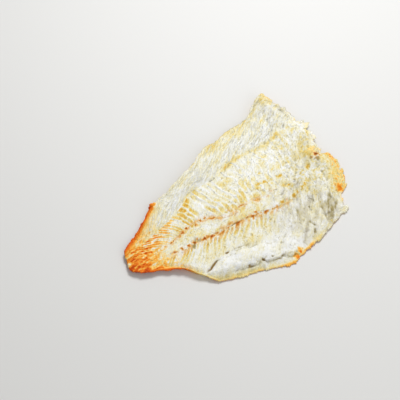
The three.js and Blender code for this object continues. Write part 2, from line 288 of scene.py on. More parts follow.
def sheet_grid(steps_along, steps_across):
    """All pairs of u and across on an even grid, u first."""
    u, across = np.linspace(0, 1, steps_along + 1), np.linspace(0, 1, steps_across + 1)
    return np.meshgrid(u, across, indexing="ij")


top = place_on_sheet(*sheet_grid(*TOP_STEPS))
tell("the torn sheet reaches", top.along, "mm along the backbone line")
tell("it reaches", top.left, "mm to the left of that line")

# %% Measures in the plan


def by_band(place, values):
    """One value for each band, blended where two bands meet."""
    return np.tensordot(np.asarray(values, float), place.weights, 1)


def from_line(place, line):
    """The distance to the left of one of the six lines."""
    return place.left - place.lines[line]


def to_left_edge(place):
    """The distance in from the left edge."""
    return place.lines["left edge"] - place.left


def from_point(place, along, left, longer=1.0):
    """The distance to a point given by shares of the length, on ellipses that are longer along the fillet."""
    return np.hypot((place.along - along * LENGTH) / longer, place.left - left * LENGTH)


def bell_at(place, spot):
    """A bell around one named spot, over its own reach."""
    return hill(from_point(place, spot.along, spot.left), spot.reach)


def from_stretches(place, stretches):
    """For each short line of a table, the distance to its nearest point, and its last two numbers."""
    for from_along, from_left, to_along, to_left, reach, strength in stretches:
        run = np.array([to_along - from_along, to_left - from_left]) * LENGTH
        off = np.stack([place.along - from_along * LENGTH, place.left - from_left * LENGTH])
        part = np.clip(np.tensordot(run, off, 1) / (run @ run), 0, 1)
        yield np.hypot(off[0] - part * run[0], off[1] - part * run[1]), reach, strength


def turned(place, angle):
    """The distances along and across a direction at an angle to the backbone line."""
    along = place.along * math.cos(angle) + place.left * math.sin(angle)
    across = place.left * math.cos(angle) - place.along * math.sin(angle)
    return along, across


def bumps(place, size, key):
    """Noise over the plan with bumps of one size, or of a size along and a size across."""
    size_along, size_left = np.broadcast_to(size, 2)
    return noise(place.along / size_along, place.left / size_left, key)


def patchy(place, size, key):
    """Layered noise over the plan, with patches of a size, as a share from 0 to 1."""
    size_along, size_left = np.broadcast_to(size, 2)
    return as_share(layered(place.along / size_along, place.left / size_left, key))


tell("the fillet is", from_line(top, "right edge") + to_left_edge(top), "mm wide between its edges")

# %% [markdown]
# ## Heights
#
# The underside shows how the fillet dried: it arches under the backbone, and its rims and ends curl up off
# the table. The flesh on top of it is thin at the torn rim and swells in each band, with a valley along
# each fold. The sums follow the solid's form, so the dressed piece keeps it, and add only what is finer
# than the solid.

# %% Underside
ARCH, FLAT_SPOT = 3.2, 0.9
ARCH_GROWS, ARCH_RISES, ARCH_FALLS = (0.25, 0.55), (0.2, 0.42), (0.55, 0.72)
LEFT_LIFT = through_stations([(0, 1), (0.15, 3), (0.3, 6), (0.5, 8), (0.7, 5), (0.86, 7), (1, 9)])
RIGHT_LIFT = through_stations([
    (0, 1), (0.12, 3.5), (0.2, 5), (0.27, 1.2), (0.4, 0.3), (0.62, 1), (0.75, 1.5), (0.9, 1),
])
LEFT_CURLS, RIGHT_CURLS = (0.64, 1.04), (0.3, -0.02)
TAIL_LIFT, TAIL_CURLS = 3.5, (0.14, -0.02)
HEAD_LIFT, HEAD_CURLS, HEAD_CURLS_FROM = 2.5, (0.8, 1.02), (0.25, 0.5)


def underside(place):
    """An arch under the backbone plus the curl of each rim and end, pressed flat where it would be lowest."""
    share, across = place.share, place.across
    arch = ARCH * ease(share, ARCH_GROWS) * between(across, ARCH_RISES, ARCH_FALLS)
    sides = LEFT_LIFT(share) * ease(across, LEFT_CURLS) + RIGHT_LIFT(share) * ease(across, RIGHT_CURLS)
    tail = TAIL_LIFT * ease(share, TAIL_CURLS)
    head = HEAD_LIFT * ease(share, HEAD_CURLS) * ease(across, HEAD_CURLS_FROM)
    return np.maximum(0, arch + sides + tail + head - FLAT_SPOT)


top_lift = underside(top)
tell("the underside is lifted", top_lift, "mm off the table")

# %% Thickness of the flesh
FLESH, RIM, RIM_TAPER = 4.0, 1.8, 9.0
SWELLING = np.array([2.2, 0.5, 0.0, 0.6, 0.6])
FLAP_LEAN, FLAP_STOPS_SHORT = 1.6, 0.18
FOLDS = {
    # depth and reach in millimetres
    "flap fold": (0.8, 2.6),
    "right seam": (0.22, 1.2),
    "left seam": (0.14, 1.2),
    "lobe fold": (0.5, 1.8),
}
FLAP_MERGES, SEAMS_FADE = (0.72, 0.4), (0.88, 0.78)
TAIL_THINS, HEAD_CRUMBLES = (0.02, 0.35), (0.62, 1)
LUMP = SimpleNamespace(height=0.5, size=16)
LARGE_CRUMB = SimpleNamespace(height=1.1, size=6.5)


def inwards(place):
    """How far a place has come in from the nearest rim, eased from 0 to 1 over the rim's taper."""
    to_side = np.minimum(to_left_edge(place), from_line(place, "right edge"))
    from_tail = place.along - TAIL_END(place.across) * LENGTH
    to_head = HEAD_END(place.across) * LENGTH - place.along
    return ease(np.minimum(to_side, np.minimum(from_tail, to_head)), (0, RIM_TAPER))


def swellings_and_folds(place):
    """A wave across each band, less a valley along each fold. The flap's wave leans towards its fold."""
    flap, seams = ease(place.share, FLAP_MERGES), ease(place.share, SEAMS_FADE)
    level_wave = np.sin(np.pi * place.in_band) ** 2
    stops_short = FLAP_STOPS_SHORT * as_share(layered(place.along / 9, 8.0, 42))
    leaning_wave = flap * np.sin(np.pi * np.minimum(1, place.in_band / (1 - stops_short)) ** FLAP_LEAN)
    raised = SWELLING[place.band] * np.where(place.band == FLAP, leaning_wave, level_wave)
    fades = {"flap fold": flap, "right seam": seams, "left seam": seams, "lobe fold": 1}
    for line, (depth, reach) in FOLDS.items():
        number = LINE_NUMBER[line]
        uneven = lerp(0.0, 1.5, as_share(noise(place.along / 11, number, 44)))
        off = from_line(place, line) + wobble(place.along, number, 43, (1.5, 9), (0.8, 3.5))
        raised = raised - depth * fades[line] * uneven * hill(off, reach)
    return raised


def thickness(place, relief):
    """The rim's thickness plus, further in, the flesh with its swellings, lumps, large crumbs and relief."""
    lumps = LUMP.height * bumps(place, LUMP.size, 0)
    crumbs = LARGE_CRUMB.height * bumps(place, LARGE_CRUMB.size, 0) * ease(place.share, HEAD_CRUMBLES)
    raised = swellings_and_folds(place) * ease(place.share, TAIL_THINS) + lumps + crumbs
    inside = inwards(place)
    return RIM + inside * (FLESH - RIM + raised) + lerp(0.5, 1, inside) * relief


tell("the smooth flesh is", thickness(top, 0), "mm thick")

# %% [markdown]
# ## Skins and cells
#
# Fish muscle is built of flakes. Thin white skins part them and cross the bands beside the backbone, swept
# back towards the tail. Roasting shrinks the flesh between the skins, so the skins stand up and the cells
# between them sink and turn yellow. One field counts the skins from the tail and another counts walls along
# them. What is left after the whole number tells where in its cell a place lies, and an ellipse in each
# cell is the sunken flesh.

# %% Skins and cells
SKIN_SPACING = np.array([5.6, 4.8, 6.4, 6.4, 6.4])
CELL_LENGTH = np.array([9.0, 13.0, 9.0, 12.0, 9.0])
SWEEP_AT_TAIL = np.array([1.2, 1.2, 2.1, 2.1, 2.1])
SWEEP_LATER = np.array([0.69, 0.69, 0.28, 0.28, 0.28])
SWEEP_STRAIGHTENS = (0.06, 0.36)
LEFT_STRAIGHTENS, LEFT_SWEEP_LOSS = (0.42, 0.62), 0.35
EXTRA_SKINS, SKINS_CROWD = 8, (84.0, -5.0)
WANDER_GROWS = (0.25, 0.4)
CELL_HALF_WIDTH, CELL_HALF_LENGTH = 0.85, 0.97
CELL_SIZES, CELL_UNEVENNESS = (0.55, 1.3), (0.5, 1.5)
CELL_BORDER = np.array([1.5, 0.2])
SKIN_WIDTHS, SKIN_STRENGTHS = (0.12, 0.28), (0.3, 1.4)


def count_skins(place):
    """Distance along plus sweep times distance out from a fold or seam, over the spacing, with a wander."""
    on_left = place.band >= LEFT_BAND
    away = np.maximum(0, np.where(on_left, from_line(place, "left seam"), -from_line(place, "right seam")))
    outwards = np.where(on_left, from_line(place, "lobe fold"), away)
    sweep = shift(place.share, SWEEP_STRAIGHTENS, SWEEP_AT_TAIL[place.band], SWEEP_LATER[place.band])
    sweep = sweep - LEFT_SWEEP_LOSS * ease(place.share, LEFT_STRAIGHTENS) * on_left
    wander = 0.6 * bumps(place, 17, 50) + 0.2 * bumps(place, 6, 51)
    wander = wander * shift(place.share, WANDER_GROWS, 0.5, 1)
    distance = place.along + sweep * outwards
    return distance / SKIN_SPACING[place.band] - EXTRA_SKINS * ease(distance, SKINS_CROWD) + wander, away


def flake_cells(place):
    """Skin is 1 on a skin and falls off beside it. Cell is 1 inside an uneven ellipse in each cell."""
    turns, away = count_skins(place)
    number = np.floor(turns)
    off_middle = 2 * (turns - number) - 1
    cross = away / CELL_LENGTH[place.band] + 3 * draw(number, 7.0) + 0.35 * bumps(place, 5, 52)
    wall = np.floor(cross)
    off_centre = 2 * (cross - wall) - 1
    own = draw(number, wall, 8)
    room = lerp(*CELL_SIZES, own) * lerp(*CELL_UNEVENNESS, patchy(place, 2.6, 54))
    outer, inner = CELL_BORDER[:, None, None] * room
    cell = ease((off_middle / CELL_HALF_WIDTH) ** 2 + (off_centre / CELL_HALF_LENGTH) ** 2, (outer, inner))
    nearest = np.round(turns)
    skin = hill(1 - np.abs(off_middle), lerp(*SKIN_WIDTHS, draw(nearest, 4.0)))
    skin = skin * lerp(*SKIN_STRENGTHS, draw(nearest, 3.0))
    return SimpleNamespace(skin=skin, cell=cell, own=own, away=away)


top_cells = flake_cells(top)
flaky = (top.band == LEFT_BAND) | (top.band == RIGHT_BAND)
print("cells take up", round(100 * float(top_cells.cell[flaky].mean())), "% of the bands beside the backbone")

# %% [markdown]
# ## Fibres
#
# In the lobe the muscle fibres show as long strands that lean outwards, and elsewhere the dried surface is
# crinkled, with short grooves. Sculpting them by hand would be slow, so each is noise that is stretched
# along the fibres. Where such noise passes zero it draws a long, gently winding line: a strand is that line
# turned into a crest, and a groove is the same line turned into a narrow valley.

# %% Patterns along the fibres
FIBRE_ANGLE = np.radians([30, 62, 40, 40, 29])


def fibre_bend(place):
    """How far the fibres swing sideways: slow noise with waves of 24 mm and 9 mm."""
    return 2.6 * bumps(place, 24, 40) + 1.0 * bumps(place, 9, 41)


def along_fibres(place, pattern):
    """A pattern of distances along and across the fibres, at each band's angle, blended between bands."""
    bend = fibre_bend(place)
    total = 0
    for angle, weight in zip(FIBRE_ANGLE, place.weights):
        along_fibre, across_fibre = turned(place, angle)
        total = total + weight * pattern(along_fibre, across_fibre + bend)
    return total


def crest(x, y, key):
    """Noise folded at zero, so that every zero line is a sharp crest at 1 and the hollows lie at -1."""
    return 1 - 2 * np.abs(noise(x, y, key))


def strands(along_fibre, across_fibre):
    """Long crests 3.4 mm apart, with finer ones between them."""
    coarse = crest(across_fibre / 3.4, along_fibre / 26, 60)
    return 0.8 * coarse + 0.35 * crest(across_fibre / 1.7, along_fibre / 13, 61)


def short_grooves(along_fibre, across_fibre):
    """Narrow valleys on the zero lines of stretched noise, kept only where a second noise is high."""
    line = hill(noise(across_fibre / 3.0, along_fibre / 11, 64), 0.2)
    return line * ease(noise(across_fibre / 4, along_fibre / 6, 65), (-0.1, 0.4))


print("fibre angles of the bands:", np.degrees(FIBRE_ANGLE).round().tolist())

# %% [markdown]
# ## Cracks, pits and dents
#
# Drying pulls the flesh apart along its folds and seams. The fold in front of the flap gapes, the seams
# have split in places, and the flap's rim is parted from it by a broken crack with pits. Cutting them out
# would leave hard edges, so each is a bell around a line or a point, taken off the height. Noise breaks its
# outline up.

# %% Places of cracks, pits and dents
CRACKS = (
    # line, from and to as shares of the length, depth and half width in millimetres
    ("flap fold", 0.228, 0.325, 1.1, 1.5),
    ("flap fold", 0.345, 0.375, 0.9, 1.0),
    ("right seam", 0.42, 0.495, 0.8, 0.55),
    ("lobe fold", 0.48, 0.53, 0.5, 0.6),
    ("right seam", 0.62, 0.8, 0.16, 0.6),
    ("flap fold", 0.375, 0.47, 0.5, 0.6),
)
PITS = (
    # along and left as shares of the length, then reach and depth in millimetres
    (0.395, -0.279, 1.0, 0.8),
    (0.432, -0.287, 0.7, 0.6),
    (0.46, -0.292, 0.9, 0.9),
    (0.496, -0.302, 1.0, 0.8),
    (0.54, -0.318, 0.7, 0.6),
    (0.353, -0.186, 1.0, 0.6),
)
PIT_LONGER, LEAST_OPEN = 1.5, 0.01
DENTS = (
    # from along and left, to along and left, as shares of the length, then reach and depth in millimetres
    (0.816, -0.146, 0.803, -0.172, 1.2, 0.5),
    (0.79, -0.183, 0.762, -0.207, 3.4, 0.8),
    (0.867, -0.214, 0.8, -0.265, 3.4, 1.0),
    (0.693, -0.139, 0.784, -0.117, 0.9, 0.12),
    (0.723, -0.255, 0.729, -0.28, 1.2, 0.6),
    (0.913, -0.095, 0.904, -0.136, 1.2, 0.6),
    (0.907, 0.139, 0.901, 0.111, 0.8, 0.4),
    (0.841, 0.139, 0.825, 0.111, 0.9, 0.4),
)
RIM_CRACK = SimpleNamespace(
    left=through_stations([
        (0.3, -0.256), (0.36, -0.269), (0.46, -0.292), (0.53, -0.317), (0.56, -0.329), (0.61, -0.34),
    ]),
    opens=(0.3, 0.38), closes=(0.59, 0.64), depth=0.7, reach=0.7, outside=0.5,
)
print(len(CRACKS), "cracks,", len(PITS), "pits and", len(DENTS), "dents")

# %% Cracks, pits and dents


def rim_crack_fields(place):
    """How far a place lies inside the crack along the flap's rim, and where along the rim that crack runs."""
    strays = wobble(place.along, 3, 46, (1.6, 6), (1.5, 2.6))
    inside = place.left - RIM_CRACK.left(place.share) * LENGTH + strays
    return inside, between(place.share, RIM_CRACK.opens, RIM_CRACK.closes)


def cracks(place):
    """Narrow bells along stretches of the lines, pits, and a broken crack inside the flap's rim."""
    depth = 0
    for line, start, end, deep, reach in CRACKS:
        number = LINE_NUMBER[line]
        opened = np.sin(np.pi * np.clip((place.share - start) / (end - start), 0, 1))
        uneven = lerp(0.6, 1.3, as_share(noise(place.along / 2.5, number, 49)))
        width = reach * np.sqrt(opened + LEAST_OPEN) * uneven
        off = from_line(place, line) + wobble(place.along, number, 45, (0.9, 4.5), (0.5, 1.8))
        depth = depth + deep * opened * hill(off, width)
    for along, left, reach, deep in PITS:
        distance = from_point(place, along, left, PIT_LONGER) + 0.8 * bumps(place, 1.1, 55)
        depth = depth + deep * hill(distance, reach)
    inside, run = rim_crack_fields(place)
    broken = run * ease(noise(place.along / 3.4, 4, 47), (-0.4, 0.6))
    width = RIM_CRACK.reach * lerp(0.5, 1.5, as_share(noise(place.along / 2.6, 6, 47)))
    return depth + RIM_CRACK.depth * hill(inside + RIM_CRACK.outside, width) * broken


def dents(place):
    """Bells around short straight lines, the wider ones with a larger wobble."""
    uneven = bumps(place, 3, 48)
    depth = 0
    for distance, reach, deep in from_stretches(place, DENTS):
        depth = depth + deep * hill(distance + (0.4 + 0.35 * reach) * uneven, reach)
    return depth


tell("cracks and pits are", cracks(top), "mm deep")
tell("dents are", dents(top), "mm deep")

# %% [markdown]
# ## Thin layers and folds of the corners
#
# Two thin layers lie lower than the flesh beside them: the rim outside the flap's crack, and a lace of
# dried threads at the right corner of the head end. The lace has its threads where two scattered grains are
# equally near, which is how the walls between bubbles run. The right corner itself is crumpled into soft
# folds.

# %% Rim, lace and corner
RIM_STEP, RIM_STEP_EDGE = 1.1, 0.8
LACE = SimpleNamespace(
    along=through_stations([
        (0.19, 0.904), (0.23, 0.91), (0.3, 0.926), (0.36, 0.95), (0.41, 0.962), (0.5, 0.979),
    ]),
    comes=(0.17, 0.2), goes=(0.49, 0.53), edge=0.8, hole_length=2.6, hole_width=3.2, thread=0.11,
    step=0.8, thread_height=0.5, border_before=2, border_reach=4,
)
CORNER = SimpleNamespace(
    along=0.79, left=-0.21, reach=34.0, angle=math.radians(55), wave=9.0, run=26.0, height=1.3,
)


def lace_fields(place):
    """Where the lace of the head's right corner lies, its threads between scattered holes, and its border."""
    uneven = wobble(place.left, 2, 77, (1.6, 7)) + wobble(place.left, 3, 77, (1.0, 2.5))
    beside = place.along - LACE.along(place.across) * LENGTH + uneven
    reaches = between(place.across, LACE.comes, LACE.goes)
    near, following, _ = nearest_grain(place.along / LACE.hole_length, place.left / LACE.hole_width, 76)
    return SimpleNamespace(
        where=ease(beside, (-LACE.edge, LACE.edge)) * reaches,
        threads=hill(following - near, LACE.thread),
        border=hill(beside + LACE.border_before, LACE.border_reach) * reaches,
    )


def rim_step(place):
    """How much lower the rim outside the flap's crack lies, and the lace between its threads."""
    inside, run = rim_crack_fields(place)
    lace = lace_fields(place)
    lace_step = lace.where * (LACE.step - LACE.thread_height * lace.threads)
    return RIM_STEP * run * ease(inside, (RIM_STEP_EDGE, -RIM_STEP_EDGE)) + lace_step


def corner_axes(place):
    """The distances along and across the folds of the right corner."""
    along_fold, leftwards = turned(place, CORNER.angle)
    return along_fold, -leftwards


def corner_folds(place):
    """Soft folds of the right corner: stretched noise in two sizes, inside a bell around the corner."""
    along_fold, across_fold = corner_axes(place)
    waves = noise(across_fold / CORNER.wave, along_fold / CORNER.run, 87)
    waves = waves + 0.5 * noise(across_fold / (0.45 * CORNER.wave), along_fold / (0.5 * CORNER.run), 88)
    return CORNER.height * waves * bell_at(place, CORNER)


tell("rim and lace lie", rim_step(top), "mm lower")
tell("the corner's folds go", corner_folds(top), "mm")

# %% [markdown]
# ## The relief of the flesh
#
# All fine forms are added up to one height over the smooth flesh: skins, strands, crinkles, crumbs and
# puffs, less grooves, cracks and dents. Each band has its own heights, because the lobe is fibrous, the
# flap puffed, the middle crinkled, and both ends crumble. A displacement in the material would be lost in
# an export, so the relief goes into the mesh.

# %% Relief
STRAND_HEIGHT = np.array([0.03, 0.05, 0.06, 0.06, 0.2])
CRINKLE_HEIGHT = np.array([0.22, 0.2, 0.22, 0.2, 0.08])
CRUMB_HEIGHT = np.array([0.16, 0.12, 0.18, 0.22, 0.08])
GROOVE_DEPTH = np.array([0.06, 0.14, 0.2, 0.2, 0.44])
SKIN_HEIGHT = np.array([0, 0.16, 0, 0.32, 0])
CELL_SINKS = 0.6
RIGHT_SKINS_END, RIGHT_SKINS_REACH = (0.62, 0.4), 14
LEFT_SKINS_FADE = (0.5, 0.75)
SMOOTH_LEFT_RIM = 11
HEAD_CRUMBS, TAIL_CRUMBS = (0.5, 0.95), (0.24, 0.06)
PUFF_HEIGHT, PUFFS_START = 0.6, (0.1, 0.4)


def skin_relief(place, cells):
    """Ragged skins less sunken cells, fading out at each band's lines, along it and from the right seam."""
    edge = np.sin(np.pi * np.clip(place.in_band, 0.03, 0.97)) ** 0.4
    ragged = shift(bumps(place, 5.5, 53), (-0.7, 0.6), 0.0, 1.3)
    on_right = ease(place.share, RIGHT_SKINS_END) * hill(cells.away, RIGHT_SKINS_REACH)
    on_left = shift(place.share, LEFT_SKINS_FADE, 1, 0.3)
    fades = np.where(place.band == RIGHT_BAND, on_right, on_left)
    return SKIN_HEIGHT[place.band] * edge * fades * (ragged * cells.skin - CELL_SINKS * cells.cell)


def crumbly(place):
    """Rounded lumps with sharp creases: noise without its sign, in two sizes, highest at both ends."""
    large, small = np.abs(bumps(place, (2.1, 1.8), 70)), np.abs(bumps(place, (1.2, 1.1), 71))
    crumbled = shift(place.share, HEAD_CRUMBS, 0.5, 1.9) + 1.1 * ease(place.share, TAIL_CRUMBS)
    return (1.3 * large + 0.8 * small - 0.65) * crumbled


def puffs(place):
    """Rounded lumps of the flap in three sizes, which fade out towards its rim."""
    lumps = bumps(place, (9, 7), 85) + 0.6 * bumps(place, (4.2, 3.6), 86) + 0.4 * bumps(place, (2.2, 2.0), 84)
    return PUFF_HEIGHT * lumps * place.weights[FLAP] * ease(place.in_band + place.band, PUFFS_START)


def flesh_relief(place, cells):
    """Skins, strands, crinkles, crumbs, puffs, nub and folds, less grooves, cracks, dents and steps."""
    crinkles = along_fibres(place, lambda x, y: layered(x / 4.4, y / 2.4, 80))
    grooves = along_fibres(place, short_grooves) * (1 - 0.7 * hill(to_left_edge(place), SMOOTH_LEFT_RIM))
    raised = skin_relief(place, cells) + by_band(place, STRAND_HEIGHT) * along_fibres(place, strands)
    raised = raised + by_band(place, CRINKLE_HEIGHT) * crinkles
    raised = raised + by_band(place, CRUMB_HEIGHT) * crumbly(place)
    nub = NUB.height * bell_at(place, NUB)
    sunk = by_band(place, GROOVE_DEPTH) * grooves + cracks(place) + dents(place) + rim_step(place)
    return raised + puffs(place) + nub + corner_folds(place) - sunk


top_relief = flesh_relief(top, top_cells)
tell("the relief goes", top_relief, "mm")

# %% [markdown]
# ## The fillet's mesh
#
# The top is a fine grid, because that side shows. The underside has half as many steps each way, and a wall
# of three triangles to each of its steps joins the two, so the piece is one closed skin. Near the rim the
# top and the underside close in on each other along a quarter of an ellipse, which rounds the torn edge.

# %% Grids and walls
RIM_ROUNDING, RIM_WALL = 1.5, 0.24


def from_rim(place):
    """The least distance in plan to the grid's own four edges, measured along its rows and columns."""
    to_sides = np.minimum(place.left - place.left[:, :1], place.left[:, -1:] - place.left)
    to_ends = np.minimum(place.along - place.along[:1], place.along[-1:] - place.along)
    return np.minimum(to_sides, to_ends)


def rounded(place):
    """Half the thickness left at a distance from the rim, on a quarter ellipse, as a share of all of it."""
    inside = np.clip(from_rim(place) / RIM_ROUNDING, 0, 1)
    return 0.5 * lerp(RIM_WALL, 1, np.sqrt(1 - (1 - inside) ** 2))


def grid_faces(steps_along, steps_across, first=0, facing_up=True):
    """Four-cornered faces of a grid whose points are numbered row by row."""
    i, j = np.meshgrid(np.arange(steps_along), np.arange(steps_across), indexing="ij")
    corner = (i * (steps_across + 1) + j).ravel() + first
    ahead = corner + steps_across + 1
    faces = np.stack([corner, ahead, ahead + 1, corner + 1], 1)
    return faces if facing_up else faces[:, ::-1]


def grid_rim(steps_along, steps_across, first=0):
    """The numbers of a grid's rim points, anticlockwise from the tail end on the right."""
    rows, columns = steps_along + 1, steps_across + 1
    number = np.arange(rows * columns).reshape(rows, columns) + first
    return np.concatenate([number[:-1, 0], number[-1, :-1], number[:0:-1, -1], number[0, :0:-1]])


def wall_faces(upper, lower):
    """Three triangles for each step of the lower rim, which has half as many points as the upper one."""
    here, after = lower, np.roll(lower, -1)
    first, second, third = upper[0::2], upper[1::2], np.roll(upper, -2)[0::2]
    corners = (here, after, second), (first, here, second), (second, after, third)
    return np.concatenate([np.stack(corner, 1) for corner in corners])


print("the top's rim has", len(grid_rim(*TOP_STEPS)), "points")

# %% From arrays to a mesh


def mesh_object(name, points, *face_groups):
    """A mesh from points in millimetres and arrays of faces, one array for each count of corners."""
    mesh = bpy.data.meshes.new(name)
    corners = np.concatenate([faces.ravel() for faces in face_groups]).astype(np.int32)
    totals = np.concatenate([np.full(len(faces), faces.shape[1]) for faces in face_groups]).astype(np.int32)
    mesh.vertices.add(len(points))
    mesh.vertices.foreach_set("co", (np.asarray(points) * MM).astype(np.float32).ravel())
    mesh.loops.add(len(corners))
    mesh.loops.foreach_set("vertex_index", corners)
    mesh.polygons.add(len(totals))
    mesh.polygons.foreach_set("loop_start", (np.cumsum(totals) - totals).astype(np.int32))
    mesh.polygons.foreach_set("loop_total", totals)
    mesh.polygons.foreach_set("use_smooth", np.ones(len(totals), bool))
    mesh.update(calc_edges=True)
    mesh.validate()
    made = bpy.data.objects.new(name, mesh)
    bpy.context.scene.collection.objects.link(made)
    print(name, "has", len(points), "points and", int((totals - 2).sum()), "triangles")
    return made


# %% Top and underside
LOW_STEPS = STEPS_ALONG // 2, STEPS_ACROSS // 2
BLISTER, BLISTER_STREAK, FLAKE_DENT = 0.35, 0.25, 0.3
BLISTERS_START = (0, 1.5)

top_height = top_lift + thickness(top, top_relief) * (0.5 + rounded(top))

low = place_on_sheet(*sheet_grid(*LOW_STEPS))
low_cells = flake_cells(low)
flaky_below = (low.band == LEFT_BAND) | (low.band == RIGHT_BAND)
flakes_below = low_cells.cell * np.sin(np.pi * low.in_band) * flaky_below
blisters = BLISTER * layered(low.along / 5, low.left / 5, 90)
blisters = blisters + along_fibres(low, lambda x, y: BLISTER_STREAK * layered(x / 9, y / 2.4, 91))
dented = np.maximum(0, FLAKE_DENT * flakes_below - blisters) * ease(underside(low), BLISTERS_START)
low_height = underside(low) + thickness(low, 0) * (0.5 - rounded(low)) + dented

middle = [(grid.min() + grid.max()) / 2 for grid in (top.along, top.left)]
print("the top is", round(float(top_height.max()), 1), "mm high at most")


def points_of(place, height):
    """Points along, left and up from the middle of the fillet's own box."""
    return np.stack([place.along - middle[0], place.left - middle[1], height], -1).reshape(-1, 3)


# %% The fillet
first_low = top.along.size
fillet = mesh_object(
    "roasted_fillet",
    np.concatenate([points_of(top, top_height), points_of(low, low_height)]),
    np.concatenate([grid_faces(*TOP_STEPS), grid_faces(*LOW_STEPS, first_low, facing_up=False)]),
    wall_faces(grid_rim(*TOP_STEPS), grid_rim(*LOW_STEPS, first_low)),
)
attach(fillet, "root")
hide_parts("fillet")

# %% [markdown]
# ## Where the colours go
#
# Roasting browns what is thin or sticks out: the tail, the rims and the torn corners. The cells between the
# skins turn yellow, and blood left along the backbone leaves two broken reddish lines. Colours painted by
# hand would have to be painted again after each change of the shape. So each is worked out as a number at
# every point of the mesh and stored as an attribute, which the material then reads. Strengths below are
# shares of the full colour, reaches are millimetres, and stretches along the fillet are shares of its
# length.

# %% Dots and flecks
FLECK_ANGLE = math.radians(3)
FLECK_BORDER = (0.46, 0.0)
DOT_SIZES, DOT_STRENGTHS, DOT_ASIDE, DOT_LONGER = (0.6, 1.7), (0.3, 1), (-1.8, 1.8), 1.4


def flecks_over(place, kind, key):
    """Uneven ellipses at scattered points, one to each rectangle, of which a share is chosen."""
    along, left = turned(place, FLECK_ANGLE)
    near, _, own = nearest_grain(along / kind.length, left / kind.width, key)
    uneven = 0.16 * bumps(place, 1.4, key)
    flecks = ease(near + uneven, FLECK_BORDER) * (own < kind.chosen) * lerp(0.4, 1, own / kind.chosen)
    return kind.strength * flecks * ease(place.share, kind.comes)


def dots_along(place, line, spacing, key, beside=0.0):
    """A row of uneven dots on or beside a line, one to a spacing, with drawn places, sizes and strengths."""
    total = np.zeros_like(place.along)
    row = LINE_NUMBER[line]
    for ahead in (-1, 0, 1):
        number = np.floor(place.along / spacing) + ahead
        centre = (number + lerp(0.2, 0.8, draw(number, row, key))) * spacing
        aside = beside + lerp(*DOT_ASIDE, draw(number, row, key + 1))
        distance = np.hypot((place.along - centre) / DOT_LONGER, from_line(place, line) - aside)
        distance = distance + 0.9 * bumps(place, 1.2, key)
        dot = hill(distance, lerp(*DOT_SIZES, draw(number, row, key + 2)))
        total = np.maximum(total, lerp(*DOT_STRENGTHS, draw(number, row, key + 3)) * dot)
    return total


def strongest_spot(place, spots, ragged, size, key):
    """The strongest of a table's spots at each place: bells around points, made ragged by noise of a size."""
    uneven = ragged * bumps(place, size, key)
    total = 0
    for along, left, reach, strength in spots:
        total = np.maximum(total, strength * hill(from_point(place, along, left) + reach * uneven, reach))
    return total


print("flecks lie at", round(math.degrees(FLECK_ANGLE)), "degrees to the backbone line")

# %% [markdown]
# ## Yellow flesh
#
# Dried cod is white with a breath of yellow, stronger in patches, at the rims and beside the seams. The
# sunken cells are the strongest yellow, and the skins between them stay white. Flecks as large as a grain
# of rice lie scattered towards the head. A picture could hold all that, but a sum of fields stays sharp at
# any distance.

# %% Pale yellow of the whole fillet
PALE_YELLOW = np.array([0.1, 0.17, 0.2, 0.17, 0.14])
LEFT_YELLOW = SimpleNamespace(strength=0.28, reach=10, comes=(0.45, 0.6), fades=(0.74, 0.88))
RIGHT_YELLOW = SimpleNamespace(strength=0.45, reach=4.5, fades=(0.6, 0.68))
SEAM_GLOW = SimpleNamespace(strength=0.18, reach=5, comes=(0.2, 0.34), goes=(0.7, 0.45))
TIP = SimpleNamespace(along=0.955, left=0.35, reach=13, strength=0.22)
LOBE_YELLOW = SimpleNamespace(at_tail=0.14, tail=(0.34, 0.14), at_head=0.05, head=(0.5, 0.7))
SPECKLE = SimpleNamespace(at_head=0.42, head=(0.68, 0.85), on_strip=0.45)
SKIN_WHITENS, SKINS_BY_SEAM = 0.2, 11


def by_seams(place, reach):
    """Two bells, one around each seam."""
    return hill(from_line(place, "right seam"), reach) + hill(from_line(place, "left seam"), reach)


def pale_yellow(place, cells):
    """Each band's own pale yellow plus patches, rims, the seams' glow and fine specks, less the skins."""
    share, on_lobe = place.share, place.weights[LOBE]
    streaks = along_fibres(place, lambda x, y: crest(y / 3.0, x / 22, 60))
    long_patches = along_fibres(place, lambda x, y: layered(x / 11, y / 4.5, 102))
    patches = 0.4 * (patchy(place, 8, 100) - 0.5) + 0.24 * long_patches
    base = by_band(place, PALE_YELLOW) + patches * lerp(1, 0.5, on_lobe) - 0.1 * streaks * on_lobe
    glow = by_seams(place, SEAM_GLOW.reach) * ease(share, SEAM_GLOW.goes)
    base = base + TIP.strength * bell_at(place, TIP)
    base = base + SEAM_GLOW.strength * glow * shift(share, SEAM_GLOW.comes, 0.2, 1)
    base = base + LOBE_YELLOW.at_tail * on_lobe * ease(share, LOBE_YELLOW.tail)
    base = base + LOBE_YELLOW.at_head * on_lobe * ease(share, LOBE_YELLOW.head)
    left_rim = LEFT_YELLOW.strength * hill(to_left_edge(place), LEFT_YELLOW.reach)
    left_rim = left_rim * shift(share, LEFT_YELLOW.fades, 1, 0.15) * shift(share, LEFT_YELLOW.comes, 0.5, 1)
    right_rim = RIGHT_YELLOW.strength * hill(from_line(place, "right edge"), RIGHT_YELLOW.reach)
    right_rim = right_rim * shift(share, RIGHT_YELLOW.fades, 1, 0.3)
    rims = left_rim * lerp(0.6, 1.4, patchy(place, 12, 101)) + right_rim
    on_skins = place.weights[LEFT_BAND] + place.weights[RIGHT_BAND] * hill(cells.away, SKINS_BY_SEAM)
    speckled = SPECKLE.at_head * ease(share, SPECKLE.head) + SPECKLE.on_strip * place.weights[STRIP]
    specks = speckled * (patchy(place, 1.8, 118) - 0.5)
    return np.clip(base - SKIN_WHITENS * cells.skin * on_skins + rims + specks, 0, 1)


